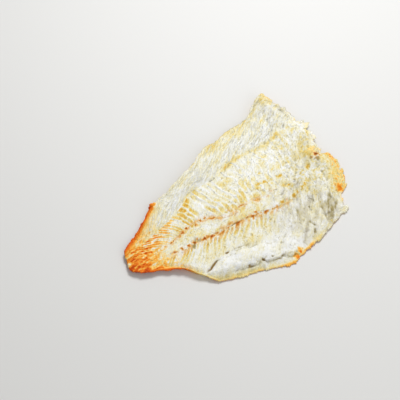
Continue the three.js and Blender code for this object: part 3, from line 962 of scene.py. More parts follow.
def tell_average(what, values):
    """Prints the average of an array to a thousandth."""
    print(what, "is", round(float(np.mean(values)), 3), "on average")


tell_average("pale yellow", pale_yellow(top, top_cells))

# %% Yellow cells
CELLS_ANYWHERE = 0.26
CELLS_BY_FOLD = SimpleNamespace(strength=0.75, reach=11, goes=(0.46, 0.34))
CELLS_BY_LEFT_SEAM = SimpleNamespace(strength=0.4, reach=14, comes=(0.22, 0.3), goes=(0.5, 0.7))
CELLS_BY_RIGHT_SEAM = SimpleNamespace(strength=0.95, reach=11, goes=(0.72, 0.5), further=0.16)


def yellow_cells(place, cells):
    """The cells' yellow: strong beside the lobe's fold and the seams, each cell with a draw of its own."""
    share = place.share
    chosen = shift(cells.own, (0.05, 0.6), 0.15, 1)
    mottled = lerp(0.45, 1.2, patchy(place, 2.4, 117))
    present = shift(bumps(place, 15, 115), (-0.4, 0.3), 0.1, 1)
    by_fold = hill(from_line(place, "lobe fold"), CELLS_BY_FOLD.reach) * ease(share, CELLS_BY_FOLD.goes)
    by_left_seam = hill(cells.away, CELLS_BY_LEFT_SEAM.reach)
    by_left_seam = by_left_seam * between(share, CELLS_BY_LEFT_SEAM.comes, CELLS_BY_LEFT_SEAM.goes)
    on_left = CELLS_ANYWHERE * present + CELLS_BY_FOLD.strength * by_fold
    on_left = np.clip(on_left + CELLS_BY_LEFT_SEAM.strength * by_left_seam, 0, 0.98)
    by_right_seam = hill(cells.away, CELLS_BY_RIGHT_SEAM.reach)
    on_right = lerp(CELLS_BY_RIGHT_SEAM.further * present, CELLS_BY_RIGHT_SEAM.strength, by_right_seam)
    on_right = on_right * ease(share, CELLS_BY_RIGHT_SEAM.goes)
    weight = on_left * (place.band == LEFT_BAND) + on_right * (place.band == RIGHT_BAND)
    return cells.cell * chosen * mottled * weight


tell_average("the cells' yellow", yellow_cells(top, top_cells))

# %% Yellow fold, flecks and lace
FOLD_YELLOW = SimpleNamespace(
    strength=0.28, reach=2.2, right_of_line=0.6,
    in_middle=0.27, middle_comes=(0.55, 0.6), middle_goes=(0.67, 0.72), at_head=0.4, head=(0.83, 0.88),
)
HEAD_FLECKS = SimpleNamespace(length=8.5, width=5.2, chosen=0.42, strength=0.52, comes=(0.45, 0.7))
SEAM_FLECKS = SimpleNamespace(
    length=5.5, width=4.0, chosen=0.75, strength=0.75, comes=(0.1, 0.3), reach=4,
)
DOT_ROWS = (
    # line, spacing in millimetres, key, millimetres left of the line, and where the row starts and ends
    ("left seam", 6.4, 160, 11.0, (0.6, 0.66), (0.84, 0.9)),
    ("left seam", 6.0, 164, 0.0, (0.7, 0.76), (0.88, 0.94)),
    ("right seam", 4.6, 168, 0.0, (0.62, 0.7), (0.84, 0.88)),
)
HEAD_GOLD = SimpleNamespace(along=0.93, left=0.03, reach=11, strength=0.85)
LACE_YELLOW, LACE_BORDER_YELLOW = 0.5, 0.6


def yellow_fold(place):
    """A broken yellow line along the lobe's fold, golden in its middle and towards the head."""
    share, fold = place.share, FOLD_YELLOW
    golden = fold.strength + fold.in_middle * between(share, fold.middle_comes, fold.middle_goes)
    golden = golden + fold.at_head * ease(share, fold.head)
    line = hill(fold.right_of_line - from_line(place, "lobe fold"), fold.reach)
    return golden * line * ease(noise(place.along / 6, 5, 110), (-0.4, 0.4))


def yellow_flecks(place):
    """Flecks towards the head and by the seams, rows of dots, and the gold of the head end."""
    on_head = flecks_over(place, HEAD_FLECKS, 111) * place.weights[LEFT_BAND]
    near_seams = np.clip(flecks_over(place, SEAM_FLECKS, 112) * by_seams(place, SEAM_FLECKS.reach), 0, 1)
    rows = [
        dots_along(place, line, spacing, key, beside) * between(place.share, starts, ends)
        for line, spacing, key, beside, starts, ends in DOT_ROWS
    ]
    dots = np.clip(1.2 * np.maximum.reduce(rows), 0, 0.95)
    gold = HEAD_GOLD.strength * bell_at(place, HEAD_GOLD) * patchy(place, 4, 116)
    return np.maximum.reduce([on_head, near_seams, dots, gold])


def yellowing(place, cells):
    """Pale yellow, the strongest of cells, fold and flecks laid over it, and the lace at its own yellow."""
    base = pale_yellow(place, cells)
    laid_over = np.maximum.reduce([yellow_cells(place, cells), yellow_fold(place), yellow_flecks(place)])
    lace = lace_fields(place)
    border = LACE_BORDER_YELLOW * lace.border * lerp(0.1, 1.225, patchy(place, 2.4, 117))
    return np.maximum.reduce([base + laid_over * (1 - base), LACE_YELLOW * lace.where, border])


top_yellowing = yellowing(top, top_cells)
tell_average("yellowing", top_yellowing)

# %% [markdown]
# ## Browning
#
# The oven colours the thin tail first, orange to brown in streaks, then the rims, the nub on the left edge,
# the lace and a few spots. An even ramp would look painted, so the tail's browning is mottled by patches,
# streaks and crumbs, and swings well below 0 and above 1 before it is cut off.

# %% Browned parts
TAIL_BROWNING = np.array([0.62, 0.55, 0.56, 0.43, 0.44])
TAIL_BROWNS, TAIL_MOTTLES = (0.3, 0.03), (-0.8, 2.6)
TAIL_TIP = SimpleNamespace(strength=0.26, comes=(0.13, 0.0), streaks=(-0.3, 1.9))
BROWN_CELLS = SimpleNamespace(
    strengths=(0.12, 0.5), right_of_fold=3, reach=6, comes=(0.02, 0.1), goes=(0.2, 0.4),
)
LEFT_BROWN = SimpleNamespace(
    patches=0.32, at_tail=0.95, darkens=(0.25, 0.215), reaches=(2.6, 6.2), widens=(0.24, 0.18),
    fades=(0.7, 0.8),
)
RIGHT_BROWN = SimpleNamespace(
    patches=0.8, at_tail=0.85, darkens=(0.22, 0.15), reaches=(2.6, 2.6), widens=(0.24, 0.18),
    fades=(0.66, 0.72),
)
FLAP_PALES, FLAP_DARKENS = (0.2, 0.25), (0.38, 0.44)
WARM_BROWN = SimpleNamespace(strength=0.46, reach=15, comes=(0.32, 0.17))
HEAD_BROWN = SimpleNamespace(strength=0.5, reach=2.5, starts=0.7)
LACE_BROWN = SimpleNamespace(holes=0.03, threads=0.6, end=0.3, end_reach=1.6)
SEAM_PITS = SimpleNamespace(spacing=4.0, comes=(0.0, 0.03), goes=(0.08, 0.16))
BROWN_SPOTS = (
    # along and left as shares of the length, reach in millimetres, strength
    (0.222, 0.172, 4.4, 0.95),
    (0.951, 0.021, 4.5, 0.34),
    (0.931, -0.191, 4.2, 0.7),
    (0.609, -0.339, 2.6, 0.8),
    (0.583, -0.352, 3.0, 0.7),
)
MOST_BROWN = 0.96
print(len(BROWN_SPOTS), "single brown spots")

# %% Browning


def tail_browning(place, cells, fine_patches):
    """A ramp towards the tail, mottled by patches, streaks and crumbs, plus cells beside the lobe's fold."""
    share = place.share
    streaks = patchy(place, (5, 1.4), 108)
    mottled = lerp(*TAIL_MOTTLES, 0.35 * fine_patches + 0.4 * streaks + 0.25 * patchy(place, 1.0, 106))
    ramp = by_band(place, TAIL_BROWNING) * ease(share, TAIL_BROWNS) * mottled
    tip = TAIL_TIP.strength * ease(share, TAIL_TIP.comes) * lerp(*TAIL_TIP.streaks, streaks)
    by_fold = hill(from_line(place, "lobe fold") + BROWN_CELLS.right_of_fold, BROWN_CELLS.reach)
    in_cells = cells.cell * lerp(*BROWN_CELLS.strengths, by_fold) * (place.band == LEFT_BAND)
    return ramp + tip + in_cells * between(share, BROWN_CELLS.comes, BROWN_CELLS.goes)


def side_browning(share, kind, distance, patches):
    """A bell beside an edge: strong and wide at the tail, patchy further on, and paler at the head."""
    strength = shift(share, kind.darkens, kind.patches * patches, kind.at_tail)
    reach = shift(share, kind.widens, *kind.reaches)
    return strength * hill(distance, reach) * shift(share, kind.fades, 1, 0.4)


def rim_browning(place, fine_patches):
    """The browning of both edges, a warm left side near the tail, the broken head end and the lace."""
    share, patches = place.share, patchy(place, 7, 105)
    to_left, to_right = to_left_edge(place), from_line(place, "right edge")
    to_head = HEAD_END(place.across) * LENGTH - place.along
    left_rim = side_browning(share, LEFT_BROWN, to_left, patches) * lerp(0.8, 1.1, fine_patches)
    right_rim = side_browning(share, RIGHT_BROWN, to_right, patches)
    right_rim = right_rim * lerp(1, 0.55, between(share, FLAP_PALES, FLAP_DARKENS))
    warm = WARM_BROWN.strength * hill(to_left, WARM_BROWN.reach) * ease(share, WARM_BROWN.comes)
    warm = warm * lerp(0.7, 1.15, fine_patches)
    head_rim = HEAD_BROWN.strength * hill(to_head, HEAD_BROWN.reach) * patches * (share > HEAD_BROWN.starts)
    lace = lace_fields(place)
    on_lace = LACE_BROWN.holes + LACE_BROWN.threads * lace.threads * lerp(0.0, 1.5, fine_patches)
    on_lace = on_lace + LACE_BROWN.end * hill(to_head, LACE_BROWN.end_reach)
    return np.maximum.reduce([left_rim, warm, right_rim, head_rim, lace.where * on_lace])


def browning(place, cells):
    """The strongest of the tail's browning, the rims, single spots, and dark pits where the seams start."""
    fine_patches = patchy(place, 2.0, 107)
    total = np.maximum(tail_browning(place, cells, fine_patches), rim_browning(place, fine_patches))
    total = np.maximum(total, strongest_spot(place, BROWN_SPOTS, 0.5, 1.6, 109))
    on_right_seam = dots_along(place, "right seam", SEAM_PITS.spacing, 150)
    pits = np.maximum(on_right_seam, dots_along(place, "left seam", SEAM_PITS.spacing, 151))
    pits = pits * between(place.share, SEAM_PITS.comes, SEAM_PITS.goes)
    return np.maximum(np.clip(total, 0, MOST_BROWN), pits)


top_browning = browning(top, top_cells)
tell_average("browning", top_browning)

# %% [markdown]
# ## Red seams
#
# The blood along the backbone dried to two rows of red-brown dots with a pale pink smear around them. It is
# strongest where the right seam splits, and single spots stand near the tail and at the head end. A line
# drawn along the seam would be too even, so noise breaks the smear and every dot has its own place and
# size.

# %% Seams
RED_SEAMS = {
    # key, and the stretch over which the seam's red ends
    "right seam": (120, (0.76, 0.86)),
    "left seam": (121, (0.55, 0.86)),
}
SEAM_STARTS, RED_PALES = (0.1, 0.2), (0.56, 0.7)
SMEAR = SimpleNamespace(strength=0.5, reach=4.0, grows=(0.28, 0.4), fades=(0.82, 0.55))
THIN_LINE = SimpleNamespace(strengths=(0.25, 0.5), reach=0.8, grows=(0.55, 0.66))
SEAM_DOTS = SimpleNamespace(spacing=4.6, pale=(0.3, 0.4))
TEETH = SimpleNamespace(strength=0.85, reach=5, comes=(0.26, 0.36), goes=(0.66, 0.76))
BLOOD_SPOTS = (
    # along and left as shares of the length, reach in millimetres, strength
    (0.277, -0.069, 1.7, 1.0),
    (0.295, -0.062, 1.2, 0.7),
    (0.25, -0.071, 1.6, 0.85),
    (0.219, -0.066, 1.4, 0.8),
    (0.945, -0.011, 2.4, 1.0),
    (0.92, -0.013, 1.4, 0.7),
    (0.936, -0.03, 1.5, 0.75),
    (0.954, -0.022, 1.2, 0.6),
)


def red_seams(place, cells):
    """A broken smear, dots and a thin line along each seam, teeth of cells at the right one, and spots."""
    share, total = place.share, 0
    for line, (key, ends) in RED_SEAMS.items():
        off = from_line(place, line) + wobble(place.along, 2, key, (1.8, 7), (1.0, 2.5))
        blotches = ease(layered(place.along / 4.5, place.left / 2.0, key + 5), (-0.5, 0.6))
        smear = SMEAR.strength * hill(off, SMEAR.reach) * blotches
        smear = smear * shift(share, SMEAR.grows, 0.6, 1) * ease(share, SMEAR.fades)
        broken = ease(noise(place.along / 5, LINE_NUMBER[line], key + 8), (-0.2, 0.5))
        thin_line = shift(share, THIN_LINE.grows, *THIN_LINE.strengths) * hill(off, THIN_LINE.reach) * broken
        dots = dots_along(place, line, SEAM_DOTS.spacing, key + 20) * shift(share, SEAM_DOTS.pale, 1, 0.8)
        seam = np.maximum(smear + thin_line, dots) * between(share, SEAM_STARTS, ends)
        total = np.maximum(total, seam)
    teeth = TEETH.strength * cells.cell * hill(cells.away, TEETH.reach) * (place.band == RIGHT_BAND)
    teeth = teeth * between(share, TEETH.comes, TEETH.goes)
    total = np.maximum(total, teeth) * shift(share, RED_PALES, 1, 0.7)
    return np.clip(np.maximum(total, strongest_spot(place, BLOOD_SPOTS, 0.6, 1.3, 113)), 0, 1)


top_seams = red_seams(top, top_cells)
tell_average("the seams' red", top_seams)

# %% [markdown]
# ## Painted shade in folds and hollows
#
# The crumpled corner's valleys, short lines beside cracks and dents, and the foot of the flap's ledge are
# painted olive as shade, and a few broad olive tints lie over the right side and the head end. Everywhere
# else the small hollows are painted a little greyer than the crests around them, as shade, with grey
# clouds on the flap and grey specks towards the head. A hollow is found by comparing the height with its
# own mean over a small square.

# %% Olive shade
# painted shade along short lines: corner folds, beside cracks and dents, the flap's rim; last, broad olive
# tints
SHADES = (
    # from along and left, to along and left, as shares of the length, then reach in millimetres and strength
    (0.816, -0.146, 0.803, -0.172, 1.2, 0.8),
    (0.795, -0.18, 0.762, -0.207, 3.2, 0.5),
    (0.86, -0.22, 0.8, -0.268, 7.0, 0.8),
    (0.872, -0.205, 0.845, -0.235, 2.4, 0.8),
    (0.848, -0.218, 0.815, -0.252, 2.0, 1.0),
    (0.822, -0.25, 0.79, -0.274, 2.4, 0.9),
    (0.878, -0.232, 0.85, -0.262, 1.6, 0.8),
    (0.836, -0.268, 0.815, -0.286, 1.6, 0.6),
    (0.905, -0.235, 0.9, -0.262, 2.2, 0.5),
    (0.53, -0.317, 0.6, -0.337, 0.9, 0.7),
    (0.27, -0.262, 0.44, -0.322, 2.6, 0.4),
    (0.38, -0.186, 0.41, -0.188, 1.0, 0.5),
    (0.723, -0.255, 0.729, -0.28, 1.2, 0.9),
    (0.716, -0.296, 0.712, -0.302, 1.6, 0.9),
    (0.913, -0.095, 0.904, -0.136, 1.0, 0.85),
    (0.861, -0.118, 0.858, -0.124, 1.4, 0.5),
    (0.92, -0.014, 0.912, -0.022, 1.7, 0.85),
    (0.941, -0.032, 0.934, -0.042, 1.4, 0.6),
    (0.9, -0.028, 0.896, -0.036, 2.0, 0.6),
    (0.907, 0.139, 0.901, 0.111, 0.6, 0.35),
    (0.841, 0.139, 0.825, 0.111, 0.6, 0.35),
    (0.44, -0.198, 0.475, -0.211, 1.6, 0.6),
    (0.274, -0.076, 0.262, -0.088, 1.0, 0.7),
    (0.283, -0.066, 0.293, -0.05, 0.9, 0.7),
    (0.29, -0.072, 0.304, -0.07, 0.9, 0.6),
    (0.8, -0.19, 0.72, -0.2, 24.0, 0.34),
    (0.95, 0.28, 0.9, 0.33, 12.0, 0.14),
    (0.93, 0.04, 0.9, 0.0, 15.0, 0.26),
)
VALLEY_SHADE = 0.9
LEDGE_SHADE = SimpleNamespace(strength=0.6, outside=0.6, reach=1.3)


def olive_shade(place):
    """Soft shade around short lines, in the corner's valleys and on the rim's ledge, broken by streaks."""
    along_fold, across_fold = corner_axes(place)
    streaks = layered(along_fold / 7, across_fold / 1.8, 133)
    uneven = bumps(place, 2.6, 132)
    total = np.zeros_like(place.along)
    for distance, reach, strength in from_stretches(place, SHADES):
        total = np.maximum(total, strength * hill(distance + (0.3 + 0.35 * reach) * uneven, reach))
    # painted shade in the valleys of the corner's folds and at the foot of the flap rim's ledge
    valleys = VALLEY_SHADE * ease(-corner_folds(place) / CORNER.height, (0.1, 0.8))
    inside, run = rim_crack_fields(place)
    ledge_shade = LEDGE_SHADE.strength * run * hill(inside + LEDGE_SHADE.outside, LEDGE_SHADE.reach) * patchy(place, 3.0, 136)
    shade = np.maximum.reduce([total, valleys, ledge_shade])
    return np.clip(shade * shift(streaks, (-0.5, 0.5), 0.25, 1.5), 0, 1)


top_shade = olive_shade(top)
tell_average("olive shade", top_shade)

# %% Painted shade in hollows
HOLLOW_SQUARE, HOLLOW_DEPTH = 3, 0.35
FLAP_SHADE_CLOUDS, TAIL_GREYS = 0.32, (0.12, 0.34)
HEAD_SHADE_SPECKS = SimpleNamespace(strength=0.42, comes=(0.64, 0.84), less_on_lobe=0.6)
LESS_IN_CELLS, LESS_IN_LACE = 0.6, 0.6
LESS_SHADE_ON_LOBE = SimpleNamespace(strength=0.9, goes=(0.42, 0.2), inwards=(34, 16))


def blurred(grid, reach):
    """The mean over a square of grid points around each, from running sums along both axes."""
    for axis in (0, 1):
        pad = [(reach + 1, reach) if a == axis else (0, 0) for a in (0, 1)]
        sums = np.cumsum(np.pad(grid, pad, mode="edge"), axis=axis)
        after = np.take(sums, np.arange(2 * reach + 1, sums.shape[axis]), axis=axis)
        before = np.take(sums, np.arange(0, sums.shape[axis] - 2 * reach - 1), axis=axis)
        grid = (after - before) / (2 * reach + 1)
    return grid


def hollows(place, cells, height):
    """Painted shade: -1 on crests, 1 in hollows, clouds on the flap, specks at the head, little in cells."""
    share, weights = place.share, place.weights
    hollow_shade = np.clip((blurred(height, HOLLOW_SQUARE) - height) / HOLLOW_DEPTH, -1, 1)
    shade_clouds = bumps(place, (5.5, 4.5), 134) + 0.8 * bumps(place, (2.4, 2.1), 135)
    specks = bumps(place, (2.6, 2.2), 137) + 0.8 * bumps(place, (1.3, 1.2), 138)
    specks = specks * ease(share, HEAD_SHADE_SPECKS.comes) * (1 - HEAD_SHADE_SPECKS.less_on_lobe * weights[LOBE])
    hollow_shade = hollow_shade + FLAP_SHADE_CLOUDS * shade_clouds * weights[FLAP] + HEAD_SHADE_SPECKS.strength * specks
    unshaded = weights[LOBE] * ease(share, LESS_SHADE_ON_LOBE.goes) * ease(to_left_edge(place), LESS_SHADE_ON_LOBE.inwards)
    hollow_shade = np.clip(np.clip(hollow_shade, -1, 1) - LESS_SHADE_ON_LOBE.strength * unshaded, -1, 1)
    in_cells = cells.cell * (weights[LEFT_BAND] + weights[RIGHT_BAND])
    hollow_shade = hollow_shade - LESS_IN_CELLS * np.maximum(hollow_shade, 0) * in_cells
    return hollow_shade * shift(share, TAIL_GREYS, 0.6, 1) * (1 - LESS_IN_LACE * lace_fields(place).where)


top_hollow_shade = hollows(top, top_cells, top_height)
tell("hollows go", top_hollow_shade)

# %% Attributes


def store(piece, name, values):
    """Keeps one number for each point of a piece's mesh under a name that a material can read."""
    attribute = piece.data.attributes.new(name, "FLOAT", "POINT")
    attribute.data.foreach_set("value", np.ascontiguousarray(values, np.float32).ravel())


FLESH_FIELDS = {
    "yellowing": top_yellowing,
    "browning": top_browning,
    "seams": top_seams,
    "hollow_shade": top_hollow_shade,
    # the depth of cracks and pits, which the material paints dark brown as shade
    "cracks": np.clip(cracks(top), 0, 1),
    "shade": top_shade,
}
toasted_below = 0.28 + 0.22 * layered(low.along / 9, low.left / 9, 130) + browning(low, low_cells)
yellow_below = 0.4 + 0.35 * flakes_below + 0.25 * layered(low.along / 12, low.left / 4, 131)
FIELDS_BELOW = {"yellowing": np.clip(yellow_below, 0, 1), "browning": np.clip(toasted_below, 0, 1)}
nothing_below = np.zeros(low.along.size)
for field, on_top in FLESH_FIELDS.items():
    store(fillet, field, np.concatenate([on_top.ravel(), FIELDS_BELOW.get(field, nothing_below).ravel()]))
print("the fillet carries", *FLESH_FIELDS)

# %% Grain coordinates
GRAIN_ANGLE = math.radians(38)


def grain_of(place):
    """Coordinates along and across one angle for all bands, gently bent, so they never jump at a line."""
    along_grain, across_grain = turned(place, GRAIN_ANGLE)
    across_grain = across_grain + fibre_bend(place)
    return np.stack([along_grain, across_grain, np.zeros_like(along_grain)], -1)


def store_grain(piece, vectors):
    """Keeps the grain coordinates of each point of a piece's mesh."""
    grain = piece.data.attributes.new("grain", "FLOAT_VECTOR", "POINT")
    grain.data.foreach_set("vector", np.ascontiguousarray(vectors, np.float32).ravel())


TOP_GRAIN = grain_of(top)
store_grain(fillet, np.concatenate([TOP_GRAIN.reshape(-1, 3), grain_of(low).reshape(-1, 3)]))
print("the grain runs at", round(math.degrees(GRAIN_ANGLE)), "degrees to the backbone line")

# %% [markdown]
# ## The flesh's material
#
# One material covers the fillet, because white flesh, yellow cells and browned rim run into each other. Its
# nodes start from a ramp of white to gold and lay each other colour over it by one attribute. A noise
# stretched along the fibres, in the grain coordinates stored above, breaks borders up and gives the bump
# that is too fine for the mesh.

# %% Colours


def from_screen(red, green, blue):
    """A colour as a screen shows it, 0 to 255, as the linear values that a shader wants."""
    shown = np.array([red, green, blue]) / 255
    linear = np.where(shown <= 0.04045, shown / 12.92, ((shown + 0.055) / 1.055) ** 2.4)
    return (*linear, 1.0)


WHITE_TO_GOLD = (
    (0.0, from_screen(244, 245, 244)),
    (0.25, from_screen(239, 235, 209)),
    (0.5, from_screen(235, 216, 142)),
    (0.75, from_screen(227, 183, 72)),
    (1.0, from_screen(214, 154, 35)),
)
SEAM_COLOURS = (
    (0.0, from_screen(240, 226, 206)),
    (0.2, from_screen(232, 206, 188)),
    (0.4, from_screen(232, 194, 126)),
    (0.6, from_screen(218, 150, 60)),
    (0.8, from_screen(182, 92, 38)),
    (1.0, from_screen(134, 56, 22)),
)
BROWNING = (
    (0.0, from_screen(250, 238, 196)),
    (0.25, from_screen(251, 224, 150)),
    (0.45, from_screen(249, 194, 90)),
    (0.65, from_screen(240, 144, 40)),
    (0.85, from_screen(226, 98, 14)),
    (1.0, from_screen(184, 66, 6)),
)
# painted shade: grey in hollows and between fibres, olive in folds and the corner, dark brown in cracks
HOLLOW_SHADE_GREY = from_screen(198, 193, 164)
OLIVE_SHADE = from_screen(150, 133, 76)
CRACK_SHADE_BROWN = from_screen(142, 114, 58)
print("ramps of", len(WHITE_TO_GOLD), "yellows,", len(SEAM_COLOURS), "reds and", len(BROWNING), "browns")

# %% Node helpers


class Nodes:
    """Builds a material's nodes: each call adds one, gives it its inputs, and returns it or its output."""

    def __init__(self, name):
        self.material = bpy.data.materials.new(name)
        self.material.use_nodes = True
        self.tree = self.material.node_tree
        self.shader = self.tree.nodes["Principled BSDF"]

    def put(self, socket, value):
        """Links a node's output to a socket, or sets the socket to a plain value."""
        if isinstance(value, bpy.types.NodeSocket):
            self.tree.links.new(value, socket)
        else:
            socket.default_value = value

    def add(self, kind, settings=None, **inputs):
        """A node of a kind, with its settings and inputs by name."""
        node = self.tree.nodes.new(kind)
        for name, value in (settings or {}).items():
            setattr(node, name, value)
        for name, value in inputs.items():
            self.put(node.inputs[name], value)
        return node

    def field(self, name):
        """One of the numbers stored on the mesh."""
        return self.add("ShaderNodeAttribute", {"attribute_name": name}).outputs["Fac"]

    def math(self, operation, first, second, clamp=False):
        """One step of arithmetic on two values, kept from 0 to 1 if clamped."""
        node = self.add("ShaderNodeMath", {"operation": operation, "use_clamp": clamp})
        self.put(node.inputs[0], first)
        self.put(node.inputs[1], second)
        return node.outputs[0]

    def times(self, first, second):
        """The product of two values."""
        return self.math("MULTIPLY", first, second)

    def plus(self, first, second, clamp=False):
        """The sum of two values, kept from 0 to 1 if clamped."""
        return self.math("ADD", first, second, clamp)

    def spread(self, value, low, high):
        """Stretches low to 0 and high to 1, and cuts off what lies outside."""
        node = self.add("ShaderNodeMapRange", {"interpolation_type": "SMOOTHSTEP"}, Value=value)
        node.inputs["From Min"].default_value = low
        node.inputs["From Max"].default_value = high
        return node.outputs["Result"]

    def mix(self, share, first, second):
        """A share of the way from a first colour to a second."""
        node = self.add("ShaderNodeMix", {"data_type": "RGBA"})
        for socket, value in (("Factor", share), (6, first), (7, second)):
            self.put(node.inputs[socket], value)
        return node.outputs[2]

    def noise(self, vector, scale, detail, roughness):
        """Soft noise from 0 to 1, with finer layers by detail."""
        values = {"Vector": vector, "Scale": scale, "Detail": detail, "Roughness": roughness}
        return self.add("ShaderNodeTexNoise", **values).outputs["Fac"]

    def stretched(self, vector, scale):
        """Coordinates times a scale for each axis."""
        return self.add("ShaderNodeMapping", Vector=vector, Scale=scale).outputs["Vector"]

    def ramp(self, value, stops):
        """The colour that a list of stops has at a value."""
        node = self.add("ShaderNodeValToRGB", Fac=value)
        elements = node.color_ramp.elements
        while len(elements) < len(stops):
            elements.new(0.5)
        for element, (position, colour) in zip(elements, stops):
            element.position = position
            element.color = colour
        return node.outputs["Color"]


# %% Roasted flesh
# waves to a millimetre along and across the grain, but speckles to a metre
STREAK_SCALE, GAP_SCALE, SPECKLE_SCALE = (0.1, 0.8, 1.0), (0.28, 0.9, 1.0), 700.0
SPECKLE_STRENGTH, STREAK_STRENGTH = 0.7, 0.5
# strengths of painted shade: grey in hollows and gaps between fibres, olive in folds
HOLLOW_SHADE_STRENGTH, GAP_SHADE_STRENGTH, SHADE_STRENGTH = 0.75, 0.65, 0.9
RAGGED_SEAMS, RAGGED_BROWN = 0.8, 0.5
ROUGHNESS, BROWN_GLOSS, SPECULAR = 0.66, 0.22, 0.1
BUMP_HEIGHT, SPECKLE_BUMP = 0.9, 0.6


def flesh_material():
    """White to gold flesh, browned rims, red seams, and painted shade: grey hollows, olive, dark cracks."""
    n = Nodes("roasted flesh")
    grain_vector = n.add("ShaderNodeAttribute", {"attribute_name": "grain"}).outputs["Vector"]
    place_vector = n.add("ShaderNodeTexCoord").outputs["Object"]
    streaks = n.noise(n.stretched(grain_vector, STREAK_SCALE), 1.0, 4.0, 0.6)
    speckle = n.noise(place_vector, SPECKLE_SCALE, 3.0, 0.65)
    ragged = n.times(n.math("SUBTRACT", speckle, 0.5), SPECKLE_STRENGTH)
    streaky = n.times(n.math("SUBTRACT", streaks, 0.5), STREAK_STRENGTH)
    colour = n.ramp(n.plus(n.field("yellowing"), n.plus(ragged, streaky), clamp=True), WHITE_TO_GOLD)
    hollow_shade = n.field("hollow_shade")
    # painted shade: hollows of the mesh, clouds on the flap and specks at the head are greyed
    colour = n.mix(n.times(n.spread(hollow_shade, 0.1, 1.0), HOLLOW_SHADE_STRENGTH), colour, HOLLOW_SHADE_GREY)
    # painted shade in the gaps between fibres: stretched noise greys the flesh except on crests
    gap_shade = n.spread(n.noise(n.stretched(grain_vector, GAP_SCALE), 1.0, 3.0, 0.6), 0.54, 0.76)
    gap_shade = n.times(gap_shade, n.spread(hollow_shade, -0.9, -0.2))
    colour = n.mix(n.times(gap_shade, GAP_SHADE_STRENGTH), colour, HOLLOW_SHADE_GREY)
    seams = n.plus(n.field("seams"), n.times(ragged, RAGGED_SEAMS), clamp=True)
    colour = n.mix(n.spread(seams, 0.08, 0.42), colour, n.ramp(seams, SEAM_COLOURS))
    colour = n.mix(n.times(n.field("shade"), SHADE_STRENGTH), colour, OLIVE_SHADE)
    brown = n.field("browning")
    ragged_brown = n.plus(brown, n.times(ragged, RAGGED_BROWN), clamp=True)
    colour = n.mix(n.spread(ragged_brown, 0.1, 0.42), colour, n.ramp(ragged_brown, BROWNING))
    # painted shade: cracks and pits darkened to brown by their depth
    colour = n.mix(n.spread(n.field("cracks"), 0.15, 1.0), colour, CRACK_SHADE_BROWN)
    n.put(n.shader.inputs["Base Color"], colour)
    n.put(n.shader.inputs["Roughness"], n.math("SUBTRACT", ROUGHNESS, n.times(brown, BROWN_GLOSS)))
    n.shader.inputs["Specular IOR Level"].default_value = SPECULAR
    heights = n.plus(streaks, n.times(speckle, SPECKLE_BUMP))
    bump = n.add("ShaderNodeBump", Height=heights, Strength=1.0, Distance=BUMP_HEIGHT * MM)
    n.put(n.shader.inputs["Normal"], bump.outputs["Normal"])
    return n.material


flesh = flesh_material()
fillet.data.materials.append(flesh)
print("the flesh has", len(flesh.node_tree.nodes), "nodes")

# %% [markdown]
# ## Loose fibres
#
# Dried fish is never quite smooth: single fibres stand out of it, white skins show as threads, and torn
# rims fray. Hair particles would give that, but they are lost in an export. So each fibre is a thin tube
# with three sides and a few dozen faces. All fibres of a kind step forward together as arrays: their
# direction is turned into steps of `u` and `across` by the slopes of the grid, so a fibre follows the
# surface that it lies on.

# %% Walk along the surface
SETTLED_HEIGHT = blurred(top_height, 2)
ROW_STEP, COLUMN_STEP = 1 / STEPS_ALONG, 1 / STEPS_ACROSS
ALONG_SLOPES = np.gradient(top.along, ROW_STEP, COLUMN_STEP)
LEFT_SLOPES = np.gradient(top.left, ROW_STEP, COLUMN_STEP)
chance = np.random.default_rng(20)


def read_grid(grid, u, across):
    """Reads a grid between its points: the four corners around, weighted by nearness."""
    row = np.clip(u, 0, 1) * STEPS_ALONG
    column = np.clip(across, 0, 1) * STEPS_ACROSS
    i = np.minimum(row.astype(int), STEPS_ALONG - 1)
    j = np.minimum(column.astype(int), STEPS_ACROSS - 1)
    low_row = lerp(grid[i, j], grid[i, j + 1], column - j)
    high_row = lerp(grid[i + 1, j], grid[i + 1, j + 1], column - j)
    return lerp(low_row, high_row, row - i)


def seeds(count, weight):
    """Places drawn at random, with a chance in proportion to the plan's area and a weight at each point."""
    area = np.abs(ALONG_SLOPES[0] * LEFT_SLOPES[1] - ALONG_SLOPES[1] * LEFT_SLOPES[0])
    odds = (area * weight).ravel()
    picked = chance.choice(odds.size, count, p=odds / odds.sum())
    row, column = np.divmod(picked, STEPS_ACROSS + 1)
    u = (row + chance.uniform(-0.5, 0.5, count)) * ROW_STEP
    across = (column + chance.uniform(-0.5, 0.5, count)) * COLUMN_STEP
    return np.clip(u, 0, 1), np.clip(across, 0, 1)


def walk(u, across, angle_at, length, rings):
    """Paths of rings points each: every step goes a share of the length at the angle where it starts."""
    path = []
    for _ in range(rings):
        path.append((read_grid(top.along, u, across), read_grid(top.left, u, across), u, across))
        angle = angle_at(u, across)
        forward, sideways = np.cos(angle) * length / rings, np.sin(angle) * length / rings
        along_u, along_v = (read_grid(slope, u, across) for slope in ALONG_SLOPES)
        left_u, left_v = (read_grid(slope, u, across) for slope in LEFT_SLOPES)
        area = along_u * left_v - along_v * left_u
        u = np.clip(u + (left_v * forward - along_v * sideways) / area, 0, 1)
        across = np.clip(across + (along_u * sideways - left_u * forward) / area, 0, 1)
    return np.moveaxis(np.array(path), 0, -1)


tell("a step of the grid goes", ALONG_SLOPES[0] * ROW_STEP, "mm along")

# %% Rings of points to dressed pieces


